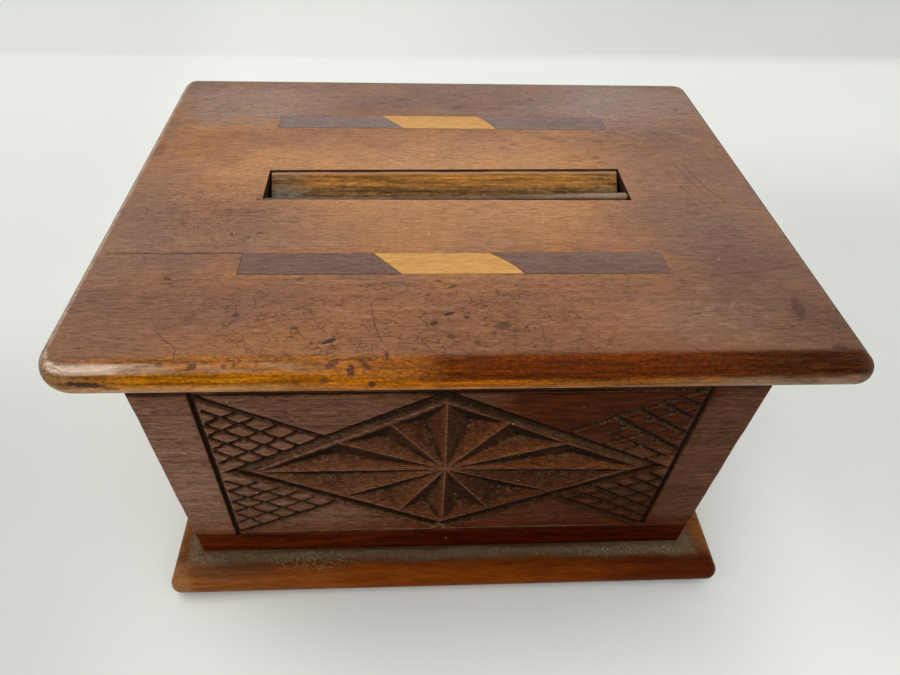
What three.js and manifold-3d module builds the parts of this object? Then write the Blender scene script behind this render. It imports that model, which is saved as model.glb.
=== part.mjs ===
// Wooden money box: a straight-sided box with a chip-carved front, standing on a
// moulded base board and closed by an overhanging lid board with a coin slot.
// Millimetres, +Z up, origin on the table under the middle of the lid. The carved
// front faces -Y.
import * as THREE from 'three';
import { mergeVertices } from 'three/addons/utils/BufferGeometryUtils.js';
import Module from 'manifold-3d';

// ---------------------------------------------------------------- dimensions
const LID_W = 180;            // lid board, left to right
const LID_D = 140.75;         // lid board, front to back
const LID_T = 9;              // lid board thickness, edge fully rounded
const LID_CORNERS = [5.5, 5, 8, 3.5];      // plan radii: back right, back left, front left, front right

const BASE_W = 178;           // base board
const BASE_D = 139.25;
const BASE_T = 9.5;
const BASE_CORNERS = [3.25, 3.25, 3.25, 3.25];
const BASE_X = 0.5;           // the base sits a touch to the right of the lid

const BODY_W = 157.25;        // carcass, outside
const BODY_D = 117.25;
const BODY_H = 91;
const BODY_X = -0.625;        // the carcass stands a touch to the left
const WALL_T = 9;             // front, back and side boards

const SLOT_X0 = -51.375, SLOT_X1 = 50.375;   // coin slot in the lid
const SLOT_Y0 = -7.5;
const SLOT_YL = 7.75, SLOT_YR = 9.25;    // its back edge was sawn out of true: left end, right end
const SLOT_RELIEF_Y = -17;    // the lid's underside is relieved in front of the slot
const SLOT_RELIEF_H = 4.5;    // so that coins pass under the slot's front edge

const INLAY_DEEP = 1.25;      // veneer let into the lid
const INLAY_GAP = 0.125;      // glue line round each piece
// each band: outer rectangle, then the slanted ends of its light middle piece as
// x on the front edge and x on the back edge
const FRONT_BAND = { x0: -52.5, x1: 51.75, y0: -39.5, y1: -31.25, lf: -13.5, lb: -20.75, rf: 16.25, rb: 8.25, bulge: 0.9 };
const BACK_BAND = { x0: -52.5, x1: 52.25, y0: 33.25, y1: 41.75, lf: -13, lb: -20.25, rf: 16.75, rb: 11.25, bulge: 0.5 };

const CHEEK_T = 1.25;         // thin end pieces of the coin chute
const FIT_GAP = 0.3;          // clearance between cut pieces
const LATH_FRONT = [-7.25, -6.25];        // lath along the slot's front edge: front face, left and right end
const LATH_BACK = [-6.3, -5.45, -3.9];    // back face at the left end, the middle and the right end
const LATH_PROUD = 0.5;      // how far its right end stands above the lid

const BLOCK_LEG = 12;         // triangular glue blocks in the inner corners
const BLOCK_Z0 = 14, BLOCK_Z1 = 94;

const SCREW_HEAD_R = 3.6;     // countersunk slotted wood screws
const SCREW_SHANK_R = 1.7;
const SCREW_LEN = 25;
const SCREW_SINK = 0.4;       // heads sit below the base's underside
const SCREW_X = 59.25;        // from the carcass's middle
const SCREW_Y = BODY_D / 2 - WALL_T / 2;

// carving on the front board: x, height above the table
const DIAMOND = [[-2.6, 88.1], [-63.4, 55.0], [-3.1, 22.8], [62.0, 53.5]];
const DIAMOND_CUT = [2.7, 1.3];          // groove width, depth
const STAR_CENTRE = [-2.2, 54.5];
const STAR_TIPS = [[-54.0, 54.8], [-32.7, 40.9], [-15.5, 32.3], [-2.1, 25.9], [11.5, 33.3], [29.0, 42.0],
                   [55.6, 53.0], [30.4, 65.8], [13.8, 75.2], [-2.5, 83.9], [-16.6, 75.6], [-31.2, 67.6]];
const CHIP_DEEP = 2.5;
const RIDGE_W = 0.45;                    // width left on top of each ray
const BORDER_CUT = [1.5, 0.8];
const BORDERS = [[[-64.8, 88.6], [-66.2, 19.4]], [[63.5, 88.4], [63.0, 21.0]]];
const LINE_CUT = [0.6, 0.3];
const LINES = [[[-65.6, 21.0], [62.6, 20.6]], [[-64.8, 89.6], [63.4, 89.6]]];
const HATCH_CUT = [1.2, 0.7];
const HATCH_STEP = 4.9;
// hatched triangles: outer corner, corner at the diamond's point, corner on the diamond's side
const HATCHES = [
  [[-64.0, 87.4], [-63.6, 56.6], [-34.5, 70.9]],
  [[-65.6, 20.4], [-63.9, 53.4], [-34.6, 37.9]],
  [[63.0, 87.6], [61.9, 55.0], [30.0, 71.6]],
  [[62.4, 21.4], [61.6, 52.0], [30.0, 39.6]],
];

// ------------------------------------------------------------------ helpers
const wasm = await Module();
wasm.setup();

function solid(geometry) {
  let g = geometry.clone();
  for (const name of Object.keys(g.attributes)) if (name !== 'position') g.deleteAttribute(name);
  g = mergeVertices(g, 1e-5);
  return new wasm.Manifold(new wasm.Mesh({
    numProp: 3,
    vertProperties: new Float32Array(g.attributes.position.array),
    triVerts: new Uint32Array(g.index.array),
  }));
}

function geometryOf(manifold) {
  const m = manifold.getMesh();
  const g = new THREE.BufferGeometry();
  g.setAttribute('position', new THREE.BufferAttribute(new Float32Array(m.vertProperties), 3));
  g.setIndex(new THREE.BufferAttribute(new Uint32Array(m.triVerts), 1));
  return g;
}

function fromPoints(points, faces) {
  const g = new THREE.BufferGeometry();
  g.setAttribute('position', new THREE.BufferAttribute(new Float32Array(points.flat()), 3));
  g.setIndex(faces.flat());
  return g;
}

function block(x0, x1, y0, y1, z0, z1) {
  const g = new THREE.BoxGeometry(x1 - x0, y1 - y0, z1 - z0);
  g.translate((x0 + x1) / 2, (y0 + y1) / 2, (z0 + z1) / 2);
  return g;
}

// a board with a fully rounded edge and rounded plan corners, lying on z = 0
function roundedBoard(w, d, t, corners, arcSteps = 8, cornerSteps = 5) {
  const r = t / 2, points = [], faces = [], per = 4 * (cornerSteps + 1);
  for (let i = 0; i <= arcSteps; i++) {
    const a = -Math.PI / 2 + (Math.PI * i) / arcSteps;
    const inset = i === 0 || i === arcSteps ? r : r - r * Math.cos(a);
    const z = i === 0 ? 0 : i === arcSteps ? t : r + r * Math.sin(a);
    for (let q = 0; q < 4; q++) {
      const sx = q === 0 || q === 3 ? 1 : -1, sy = q < 2 ? 1 : -1;
      const cr = Math.max(corners[q] - inset, 0.25);
      for (let j = 0; j <= cornerSteps; j++) {
        const b = (Math.PI / 2) * (q + j / cornerSteps);
        points.push([sx * (w / 2 - inset - cr) + cr * Math.cos(b), sy * (d / 2 - inset - cr) + cr * Math.sin(b), z]);
      }
    }
  }
  for (let i = 0; i < arcSteps; i++) for (let j = 0; j < per; j++) {
    const a = i * per + j, b = i * per + ((j + 1) % per), c = a + per, e = b + per;
    faces.push([a, b, e], [a, e, c]);
  }
  for (let j = 1; j < per - 1; j++) {
    faces.push([0, j + 1, j]);
    faces.push([arcSteps * per, arcSteps * per + j, arcSteps * per + j + 1]);
  }
  return fromPoints(points, faces);
}

// an outline in (y, z), run along X from x0 to x1
function alongX(outline, x0, x1) {
  const shape = new THREE.Shape(outline.map(([y, z]) => new THREE.Vector2(y, z)));
  const g = new THREE.ExtrudeGeometry(shape, { depth: x1 - x0, bevelEnabled: false });
  g.applyMatrix4(new THREE.Matrix4().set(0, 0, 1, x0, 1, 0, 0, 0, 0, 1, 0, 0, 0, 0, 0, 1));
  return g;
}

// an outline in (x, y), raised from z0 to z1
function upZ(outline, z0, z1) {
  const shape = new THREE.Shape(outline.map(([x, y]) => new THREE.Vector2(x, y)));
  const g = new THREE.ExtrudeGeometry(shape, { depth: z1 - z0, bevelEnabled: false });
  g.translate(0, 0, z0);
  return g;
}

function turned(profile, steps, x = 0, y = 0, z = 0) {
  const g = new THREE.LatheGeometry(profile.map(([r, h]) => new THREE.Vector2(r, h)), steps);
  g.rotateX(Math.PI / 2);
  g.translate(x, y, z);
  return g;
}

// a straight V groove from p to q, both [x, z], cut into the face y = faceY
function groove(p, q, [width, depth], faceY) {
  const dx = q[0] - p[0], dz = q[1] - p[1], len = Math.hypot(dx, dz);
  const nx = -dz / len, nz = dx / len, out = 0.6;
  const half = (width / 2) * ((depth + out) / depth);
  const ring = ([x, z]) => [
    [x + nx * half, faceY - out, z + nz * half],
    [x - nx * half, faceY - out, z - nz * half],
    [x, faceY + depth, z],
  ];
  return solidFrom([...ring(p), ...ring(q)], [[0, 1, 2], [3, 5, 4], [0, 3, 4], [0, 4, 1], [1, 4, 5], [1, 5, 2], [2, 5, 3], [2, 3, 0]]);
}

function solidFrom(points, faces) {
  let m = solid(fromPoints(points, faces));
  if (m.volume() < 0 || m.isEmpty()) m = solid(fromPoints(points, faces.map(([a, b, c]) => [a, c, b])));
  return m;
}

// a chip between two rays of the star: three-cornered at the surface, running down
// to its deepest point near the outer edge
function chip(centre, a, b, depth, faceY) {
  const tri = insetTriangle([centre, a, b], RIDGE_W / 2);
  const [c, p, q] = tri, out = 0.6;
  const deep = [0, 1].map((k) => c[k] * 0.24 + (p[k] + q[k]) * 0.38);
  const apex = [deep[0], faceY + depth, deep[1]];
  // walls continue outwards so that the cut is clean at the surface
  const up = (v) => { const s = out / depth; return [v[0] + (v[0] - deep[0]) * s, faceY - out, v[1] + (v[1] - deep[1]) * s]; };
  return solidFrom([up(c), up(p), up(q), apex], [[0, 1, 2], [0, 3, 1], [1, 3, 2], [2, 3, 0]]);
}

function insetTriangle(t, d) {
  const area = (t[1][0] - t[0][0]) * (t[2][1] - t[0][1]) - (t[2][0] - t[0][0]) * (t[1][1] - t[0][1]);
  const side = (i) => Math.hypot(t[(i + 2) % 3][0] - t[(i + 1) % 3][0], t[(i + 2) % 3][1] - t[(i + 1) % 3][1]);
  const l = [side(0), side(1), side(2)], per = l[0] + l[1] + l[2], r = Math.abs(area) / per;
  const c = [0, 1].map((k) => (t[0][k] * l[0] + t[1][k] * l[1] + t[2][k] * l[2]) / per);
  return t.map((v) => [0, 1].map((k) => c[k] + (v[k] - c[k]) * (1 - d / r)));
}

// the two sets of hatching lines of a triangle: one parallel to the side from the
// outer corner to the diamond, one parallel to the diamond's side
function hatchLines([outer, point, side], step) {
  const lines = [];
  const across = (from, to, opposite) => {
    // lines parallel to from-to, moving towards the opposite corner
    const ex = to[0] - from[0], ez = to[1] - from[1], len = Math.hypot(ex, ez);
    let nx = -ez / len, nz = ex / len;
    const height = (opposite[0] - from[0]) * nx + (opposite[1] - from[1]) * nz;
    if (height < 0) { nx = -nx; nz = -nz; }
    const h = Math.abs(height);
    for (let s = 0; s < h - 0.35 * step; s += step) {
      const f = s / h, mix = (u) => [u[0] + (opposite[0] - u[0]) * f, u[1] + (opposite[1] - u[1]) * f];
      lines.push([mix(from), mix(to)]);
    }
  };
  across(outer, side, point);
  const h = HATCH_STEP;
  // the set along the diamond starts one step away, because the diamond's own groove is the first line
  const ex = side[0] - point[0], ez = side[1] - point[1], len = Math.hypot(ex, ez);
  const height = Math.abs((outer[0] - point[0]) * (-ez / len) + (outer[1] - point[1]) * (ex / len));
  for (let s = h; s < height - 0.35 * h; s += h) {
    const f = s / height, mix = (u) => [u[0] + (outer[0] - u[0]) * f, u[1] + (outer[1] - u[1]) * f];
    lines.push([mix(point), mix(side)]);
  }
  return lines;
}

// ---------------------------------------------------------------- materials
const wood = (hex, roughness) => new THREE.MeshStandardMaterial({ color: hex, roughness, metalness: 0, flatShading: true });
const COLOURS = {
  lid: 0x7d3f22, carcass: 0x5e2d1c, inside: 0x9b7146, base: 0x8a4520,
  dark: 0x4a2420, light: 0xc98a45, chute: 0x8a5c2c, strip: 0x7a5a48, block: 0xa5824f,
};
const brass = () => new THREE.MeshStandardMaterial({ color: 0x9c7a3c, roughness: 0.45, metalness: 1, flatShading: true });

const moneyBox = new THREE.Group();
const box = new THREE.Group();       // everything above the base
const lid = new THREE.Group();       // lid board, inlays and chute; z = 0 on the lid's underside
lid.position.z = BASE_T + BODY_H;
box.add(lid);
moneyBox.add(box);

function add(parent, name, geometry, material) {
  const mesh = new THREE.Mesh(geometry, material);
  mesh.name = name;
  parent.add(mesh);
  return mesh;
}

// ---------------------------------------------------------------- lid board
{
  let m = solid(roundedBoard(LID_W, LID_D, LID_T, LID_CORNERS));
  m = m.subtract(solid(upZ([[SLOT_X0, SLOT_Y0], [SLOT_X1, SLOT_Y0], [SLOT_X1, SLOT_YR], [SLOT_X0, SLOT_YL]], -1, LID_T + 1)));
  const rx0 = SLOT_X0 + FIT_GAP + CHEEK_T + 0.45, rx1 = SLOT_X1 - FIT_GAP - CHEEK_T - 0.45;
  m = m.subtract(solid(block(rx0, rx1, SLOT_RELIEF_Y, SLOT_Y0 + 1, -1, SLOT_RELIEF_H)));
  for (const b of [FRONT_BAND, BACK_BAND]) {
    m = m.subtract(solid(block(b.x0, b.x1, b.y0, b.y1, LID_T - INLAY_DEEP, LID_T + 1)));
  }
  add(lid, 'lid_board', geometryOf(m), wood(COLOURS.lid, 0.38));
}

// -------------------------------------------------------------- inlaid bands
for (const [name, b] of [['front', FRONT_BAND], ['back', BACK_BAND]]) {
  const g = INLAY_GAP, y0 = b.y0 + g, y1 = b.y1 - g, z0 = LID_T - INLAY_DEEP, z1 = LID_T;
  const at = (f, k, y) => f + (k - f) * ((y - b.y0) / (b.y1 - b.y0));   // x of a slanted joint at y
  add(lid, `inlay_${name}_left`, upZ([[b.x0 + g, y0], [at(b.lf, b.lb, y0) - g, y0], [at(b.lf, b.lb, y1) - g, y1], [b.x0 + g, y1]], z0, z1), wood(COLOURS.dark, 0.42));
  // the light piece's right end is slightly rounded, and the dark piece is cut to meet it
  const joint = (gap) => [0, 1 / 6, 1 / 3, 1 / 2, 2 / 3, 5 / 6, 1].map((f) => {
    const y = y0 + (y1 - y0) * f;
    return [at(b.rf, b.rb, y) + b.bulge * Math.sin(Math.PI * f) + gap, y];
  });
  add(lid, `inlay_${name}_light`, upZ([[at(b.lf, b.lb, y0) + g, y0], ...joint(-g), [at(b.lf, b.lb, y1) + g, y1]], z0, z1), wood(COLOURS.light, 0.4));
  add(lid, `inlay_${name}_right`, upZ([[b.x1 - g, y0], [b.x1 - g, y1], ...joint(g).reverse()], z0, z1), wood(COLOURS.dark, 0.42));
}

// ---------------------------------------------------------------- coin chute
// A board slopes down and forward behind the slot, so that coins slide away under the
// slot's front edge and can't be shaken back out. Two cheeks under the lid stand in front
// of its ends and carry the lath along the slot's front edge.
{
  const t = LID_T, lean = (SLOT_YR - SLOT_YL) / (SLOT_X1 - SLOT_X0);     // the board follows the slot's back edge
  const y1 = SLOT_YL - 0.25, cx0 = SLOT_X0 + FIT_GAP, cx1 = SLOT_X1 - FIT_GAP;
  const board = [[y1, t - 1.2], [y1 - 0.2, t - 0.6], [y1 - 0.7, t - 0.3], [y1 - 1.5, t - 0.55], [2.6, t - 3.4], [-0.5, t - 6.4],
                 [-4.4, t - 11.2], [-12, t - 21.3], [-8.8, t - 23.7], [-1.2, t - 13.7], [2.7, t - 9.1], [y1, t - 5.6]];
  const bx0 = SLOT_X0 + 0.5, bx1 = SLOT_X1 - 0.5;
  const chute = alongX(board, bx0, bx1);
  chute.applyMatrix4(new THREE.Matrix4().set(1, 0, 0, 0, lean, 1, 0, -lean * SLOT_X0, 0, 0, 1, 0, 0, 0, 0, 1));
  add(lid, 'chute_board', chute, wood(COLOURS.chute, 0.6));

  const cheek = (dy) => [[-14, -12], [-12.4 + dy, -12], [-4.8 + dy, -1.9], [-2.9 + dy, 0.4], [-4.2 + dy, SLOT_RELIEF_H],
                         [SLOT_Y0 + FIT_GAP, SLOT_RELIEF_H], [SLOT_Y0 + FIT_GAP, 0], [-14, 0]];
  add(lid, 'chute_left_cheek', alongX(cheek(0), cx0, cx0 + CHEEK_T), wood(COLOURS.strip, 0.7));
  add(lid, 'chute_right_cheek', alongX(cheek(1.4), cx1 - CHEEK_T, cx1), wood(COLOURS.strip, 0.7));

  // the lath tapers to the left, where it lies just below the lid, and stands a little proud at its right end
  const z0 = SLOT_RELIEF_H, [fl, fr] = LATH_FRONT, [bl, bm, br] = LATH_BACK;
  const side = [[bx0, z0], [bx1, z0], [bx1, t + LATH_PROUD - 0.6], [bx1 - 0.6, t + LATH_PROUD], [10, t], [bx0, t - 0.2]];
  const shape = new THREE.Shape(side.map(([x, z]) => new THREE.Vector2(x, z)));
  const g = new THREE.ExtrudeGeometry(shape, { depth: 6, bevelEnabled: false });
  g.applyMatrix4(new THREE.Matrix4().set(1, 0, 0, 0, 0, 0, -1, -2, 0, 1, 0, 0, 0, 0, 0, 1));
  const plan = upZ([[bx0, fl], [bx1, fr], [bx1, br], [0, bm], [bx0, bl]], z0 - 1, t + 2);
  add(lid, 'slot_front_lath', geometryOf(solid(g).intersect(solid(plan))), wood(COLOURS.strip, 0.5));
}

// ------------------------------------------------------------------ carcass
const bx0 = BODY_X - BODY_W / 2, bx1 = BODY_X + BODY_W / 2;
const by0 = -BODY_D / 2, by1 = BODY_D / 2, bz0 = BASE_T, bz1 = BASE_T + BODY_H;
const pilot = (x, y) => solid(turned([[0, bz0 - 1], [SCREW_SHANK_R + FIT_GAP, bz0 - 1], [SCREW_SHANK_R + FIT_GAP, SCREW_LEN + 1], [0, SCREW_LEN + 1]], 12, x, y, 0));

{
  let front = solid(block(bx0, bx1, by0, by0 + WALL_T, bz0, bz1));
  let cuts = null;
  const cut = (m) => { cuts = cuts ? cuts.add(m) : m; };
  for (let i = 0; i < 4; i++) {
    // the diamond's sides, run on a little so that they meet at its corners
    const a = DIAMOND[i], b = DIAMOND[(i + 1) % 4], l = Math.hypot(b[0] - a[0], b[1] - a[1]), e = 0.35 / l;
    cut(groove([a[0] - (b[0] - a[0]) * e, a[1] - (b[1] - a[1]) * e], [b[0] + (b[0] - a[0]) * e, b[1] + (b[1] - a[1]) * e], DIAMOND_CUT, by0));
  }
  for (const [a, b] of BORDERS) cut(groove(a, b, BORDER_CUT, by0));
  for (const [a, b] of LINES) cut(groove(a, b, LINE_CUT, by0));
  for (const h of HATCHES) for (const [a, b] of hatchLines(h, HATCH_STEP)) cut(groove(a, b, HATCH_CUT, by0));
  STAR_TIPS.forEach((a, i) => cut(chip(STAR_CENTRE, a, STAR_TIPS[(i + 1) % STAR_TIPS.length], CHIP_DEEP, by0)));
  front = front.subtract(cuts);
  for (const s of [-1, 1]) front = front.subtract(pilot(BODY_X + s * SCREW_X, -SCREW_Y));
  add(box, 'front_board', geometryOf(front), wood(COLOURS.carcass, 0.45));

  let back = solid(block(bx0, bx1, by1 - WALL_T, by1, bz0, bz1));
  for (const s of [-1, 1]) back = back.subtract(pilot(BODY_X + s * SCREW_X, SCREW_Y));
  add(box, 'back_board', geometryOf(back), wood(COLOURS.carcass, 0.45));
}
add(box, 'left_side_board', block(bx0, bx0 + WALL_T, by0 + WALL_T, by1 - WALL_T, bz0, bz1), wood(COLOURS.carcass, 0.45));
add(box, 'right_side_board', block(bx1 - WALL_T, bx1, by0 + WALL_T, by1 - WALL_T, bz0, bz1), wood(COLOURS.carcass, 0.45));

// glue blocks behind the four upright joints
for (const [name, sx, sy] of [['front_left', -1, -1], ['front_right', 1, -1], ['back_left', -1, 1], ['back_right', 1, 1]]) {
  const x = sx < 0 ? bx0 + WALL_T : bx1 - WALL_T, y = sy < 0 ? by0 + WALL_T : by1 - WALL_T;
  const outline = [[x, y], [x - sx * BLOCK_LEG, y], [x, y - sy * BLOCK_LEG]];
  if (sx * sy < 0) outline.reverse();
  add(box, `glue_block_${name}`, upZ(outline, BLOCK_Z0, BLOCK_Z1), wood(COLOURS.block, 0.8));
}

// ------------------------------------------------------- base and its screws
{
  const g = roundedBoard(BASE_W, BASE_D, BASE_T, BASE_CORNERS);
  g.translate(BASE_X, 0, 0);
  let m = solid(g);
  const r = SCREW_SHANK_R + FIT_GAP, h = SCREW_HEAD_R + FIT_GAP;
  for (const sx of [-1, 1]) for (const sy of [-1, 1]) {
    const hole = [[0, -1], [h, -1], [h, SCREW_SINK + 0.4], [r, SCREW_SINK + 0.4 + (h - r)], [r, BASE_T + 1], [0, BASE_T + 1]];
    m = m.subtract(solid(turned(hole, 16, BODY_X + sx * SCREW_X, sy * SCREW_Y, 0)));
  }
  add(moneyBox, 'base_board', geometryOf(m), wood(COLOURS.base, 0.35));
}
for (const [name, sx, sy] of [['front_left', -1, -1], ['front_right', 1, -1], ['back_left', -1, 1], ['back_right', 1, 1]]) {
  const x = BODY_X + sx * SCREW_X, y = sy * SCREW_Y, z = SCREW_SINK;
  const profile = [[0, z], [SCREW_HEAD_R, z], [SCREW_HEAD_R, z + 0.35], [SCREW_SHANK_R, z + 0.35 + SCREW_HEAD_R - SCREW_SHANK_R], [SCREW_SHANK_R, SCREW_LEN - 4], [0.25, SCREW_LEN], [0, SCREW_LEN]];
  const slot = new THREE.BoxGeometry(SCREW_HEAD_R * 2 + 2, 0.9, 2.4);
  slot.rotateZ(0.35 + sx * 0.5 + sy * 0.9);
  slot.translate(x, y, z);
  add(moneyBox, `base_screw_${name}`, geometryOf(solid(turned(profile, 16, x, y, 0)).subtract(solid(slot))), brass());
}

export default moneyBox;
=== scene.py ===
import bpy, bmesh, math
import numpy as np
from mathutils import Matrix, Vector


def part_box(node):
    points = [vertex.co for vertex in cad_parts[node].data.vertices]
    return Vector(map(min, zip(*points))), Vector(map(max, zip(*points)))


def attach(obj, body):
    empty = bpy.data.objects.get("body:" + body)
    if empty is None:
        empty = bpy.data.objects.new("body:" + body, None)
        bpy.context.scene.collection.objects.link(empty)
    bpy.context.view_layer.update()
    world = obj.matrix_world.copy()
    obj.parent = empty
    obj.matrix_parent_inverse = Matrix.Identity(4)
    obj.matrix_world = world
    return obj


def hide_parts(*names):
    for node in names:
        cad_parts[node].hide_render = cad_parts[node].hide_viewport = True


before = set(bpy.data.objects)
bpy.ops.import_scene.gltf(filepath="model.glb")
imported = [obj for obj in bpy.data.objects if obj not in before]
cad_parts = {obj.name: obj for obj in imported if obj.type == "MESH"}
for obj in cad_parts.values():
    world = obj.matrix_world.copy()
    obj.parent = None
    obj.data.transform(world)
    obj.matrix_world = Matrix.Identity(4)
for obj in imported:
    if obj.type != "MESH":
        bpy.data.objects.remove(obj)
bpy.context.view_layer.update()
scene = bpy.context.scene
MM = 0.001

# ------------------------------------------------------------------ camera
# fitted to the photograph's view; millimetres and degrees
CAM_POS = (-12.298, -157.880, 206.713)
CAM_PITCH, CAM_YAW, CAM_ROLL = 45.65, 3.90, 2.30
CAM_F, CAM_CX, CAM_CY = 636.64, 438.02, 344.48      # for a 900 x 675 picture


def make_camera():
    p, w, r = (math.radians(a) for a in (CAM_PITCH, CAM_YAW, CAM_ROLL))
    f = Vector((math.sin(w) * math.cos(p), math.cos(w) * math.cos(p), -math.sin(p)))
    right = Vector((math.cos(w), -math.sin(w), 0))
    up = right.cross(f)
    r2 = math.cos(r) * right + math.sin(r) * up
    u2 = -math.sin(r) * right + math.cos(r) * up
    m = Matrix((r2, u2, -f)).transposed().to_4x4()
    m.translation = Vector(CAM_POS) * MM
    data = bpy.data.cameras.new("camera")
    data.sensor_fit = "HORIZONTAL"
    data.sensor_width = 36.0
    data.lens = CAM_F / 900 * 36
    data.shift_x = (450 - CAM_CX) / 900
    data.shift_y = (CAM_CY - 337.5) / 900
    data.clip_start, data.clip_end = 0.005, 20
    cam = bpy.data.objects.new("camera", data)
    cam.matrix_world = m
    scene.collection.objects.link(cam)
    scene.camera = cam


make_camera()

# ------------------------------------------------------------- sizes, in mm
lo, hi = (np.array(v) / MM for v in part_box("lid_board"))
LID_W, LID_D, LID_T = hi - lo
LID_TOP, LID_BOT = hi[2], lo[2]
lo, hi = (np.array(v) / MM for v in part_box("base_board"))
BASE_W, BASE_D, BASE_T = hi - lo
BASE_X = (lo[0] + hi[0]) / 2
lo, hi = (np.array(v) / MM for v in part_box("front_board"))
FB_X0, FB_Y0, FB_Z0 = lo
FB_X1, FB_Y1, FB_Z1 = hi
SLOT = (-51.375, 50.375, -7.5, 7.75, 9.25)          # x0, x1, front y, back y at the left and right end
LEAN = (SLOT[4] - SLOT[3]) / (SLOT[1] - SLOT[0])
LID_CORNERS = (5.5, 5.0, 8.0, 3.5)                   # back right, back left, front left, front right
BASE_CORNERS = (3.4, 3.4, 3.2, 3.2)
FRONT_BAND = dict(x0=-52.5, x1=51.75, y0=-39.5, y1=-31.25)
BACK_BAND = dict(x0=-52.5, x1=52.25, y0=33.25, y1=41.75)


# ------------------------------------------------------------ mesh helpers
def new_object(name, verts, faces, body, smooth=True):
    me = bpy.data.meshes.new(name)
    me.from_pydata([tuple(v) for v in (np.asarray(verts, float) * MM)], [], [tuple(f) for f in faces])
    me.validate()
    me.update()
    if smooth:
        me.polygons.foreach_set("use_smooth", np.ones(len(me.polygons), bool))
    ob = bpy.data.objects.new(name, me)
    scene.collection.objects.link(ob)
    if body:
        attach(ob, body)
    return ob


def apply_modifiers(ob):
    bpy.context.view_layer.update()
    dg = bpy.context.evaluated_depsgraph_get()
    me = bpy.data.meshes.new_from_object(ob.evaluated_get(dg), preserve_all_data_layers=True, depsgraph=dg)
    ob.modifiers.clear()
    old = ob.data
    ob.data = me
    bpy.data.meshes.remove(old)
    return ob


def rounded_board(w, d, t, corners, arc=28, csteps=14, cx=0.0, z0=0.0):
    """A slab with a half-round edge, with a support ring just inside each flat."""
    r = t / 2
    rings = []
    for i in range(arc + 1):
        a = -math.pi / 2 + math.pi * i / arc
        rings.append((r - r * math.cos(a), r + r * math.sin(a)))
    rings = [(r + 0.35, 0.0)] + rings + [(r + 0.35, t)]
    verts, faces = [], []
    per = 4 * (csteps + 1)
    for inset, z in rings:
        for q in range(4):
            sx = 1 if q in (0, 3) else -1
            sy = 1 if q < 2 else -1
            cr = max(corners[q] - inset, 0.7)
            for j in range(csteps + 1):
                b = math.pi / 2 * (q + j / csteps)
                verts.append((cx + sx * (w / 2 - inset - cr) + cr * math.cos(b), sy * (d / 2 - inset - cr) + cr * math.sin(b), z0 + z))
    n = len(rings)
    for i in range(n - 1):
        for j in range(per):
            a, b = i * per + j, i * per + (j + 1) % per
            faces.append((a, b, b + per, a + per))
    faces.append(tuple(range(per - 1, -1, -1)))
    faces.append(tuple((n - 1) * per + j for j in range(per)))
    return verts, faces


def prism(outline, z0, z1):
    n = len(outline)
    v = [(x, y, z) for z in (z0, z1) for x, y in outline]
    f = [tuple(range(n - 1, -1, -1)), tuple(range(n, 2 * n))]
    f += [(i, (i + 1) % n, n + (i + 1) % n, n + i) for i in range(n)]
    return v, f


def swept(sections):
    """A closed body through rings of equal length, capped at both ends."""
    n, m = len(sections), len(sections[0])
    verts = [p for s in sections for p in s]
    faces = [(i * m + j, i * m + (j + 1) % m, (i + 1) * m + (j + 1) % m, (i + 1) * m + j) for i in range(n - 1) for j in range(m)]
    faces += [tuple(range(m - 1, -1, -1)), tuple((n - 1) * m + j for j in range(m))]
    return verts, faces


def box_mesh(x0, x1, y0, y1, z0, z1):
    v = [(x, y, z) for z in (z0, z1) for y in (y0, y1) for x in (x0, x1)]
    f = [(0, 2, 3, 1), (4, 5, 7, 6), (0, 1, 5, 4), (2, 6, 7, 3), (0, 4, 6, 2), (1, 3, 7, 5)]
    return v, f


def lathe_mesh(profile, steps, cx, cy, close=True):
    """profile of (r, z) from the axis to the axis."""
    verts, faces = [], []
    ring_of = []
    for r, z in profile:
        if r < 1e-6:
            ring_of.append([len(verts)])
            verts.append((cx, cy, z))
        else:
            ring_of.append(list(range(len(verts), len(verts) + steps)))
            for j in range(steps):
                a = 2 * math.pi * j / steps
                verts.append((cx + r * math.cos(a), cy + r * math.sin(a), z))
    for a, b in zip(ring_of, ring_of[1:]):
        for j in range(steps):
            k = (j + 1) % steps
            if len(a) == 1 and len(b) == 1:
                continue
            if len(a) == 1:
                faces.append((a[0], b[k], b[j]))
            elif len(b) == 1:
                faces.append((a[j], a[k], b[0]))
            else:
                faces.append((a[j], a[k], b[k], b[j]))
    return verts, faces


def cut(ob, meshes, solver="EXACT"):
    cutters = []
    for v, f in meshes:
        c = new_object("cutter", v, f, None, smooth=False)
        bm = bmesh.new()
        bm.from_mesh(c.data)
        bmesh.ops.recalc_face_normals(bm, faces=bm.faces)
        bm.to_mesh(c.data)
        bm.free()
        m = ob.modifiers.new("cut", "BOOLEAN")
        m.operation, m.solver, m.object = "DIFFERENCE", solver, c
        cutters.append(c)
    apply_modifiers(ob)
    for c in cutters:
        me = c.data
        bpy.data.objects.remove(c)
        bpy.data.meshes.remove(me)
    return ob


def recalc(ob):
    bm = bmesh.new()
    bm.from_mesh(ob.data)
    bmesh.ops.recalc_face_normals(bm, faces=bm.faces)
    bm.to_mesh(ob.data)
    bm.free()


def soften(ob, width, segments=2, angle=35):
    """Bevels the hard edges, then shades by area so that flats stay flat."""
    b = ob.modifiers.new("bevel", "BEVEL")
    b.width, b.segments = width * MM, segments
    b.limit_method, b.angle_limit = "ANGLE", math.radians(angle)
    b.harden_normals = False
    w = ob.modifiers.new("weighted", "WEIGHTED_NORMAL")
    w.keep_sharp = False
    w.weight = 80
    return ob


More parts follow.
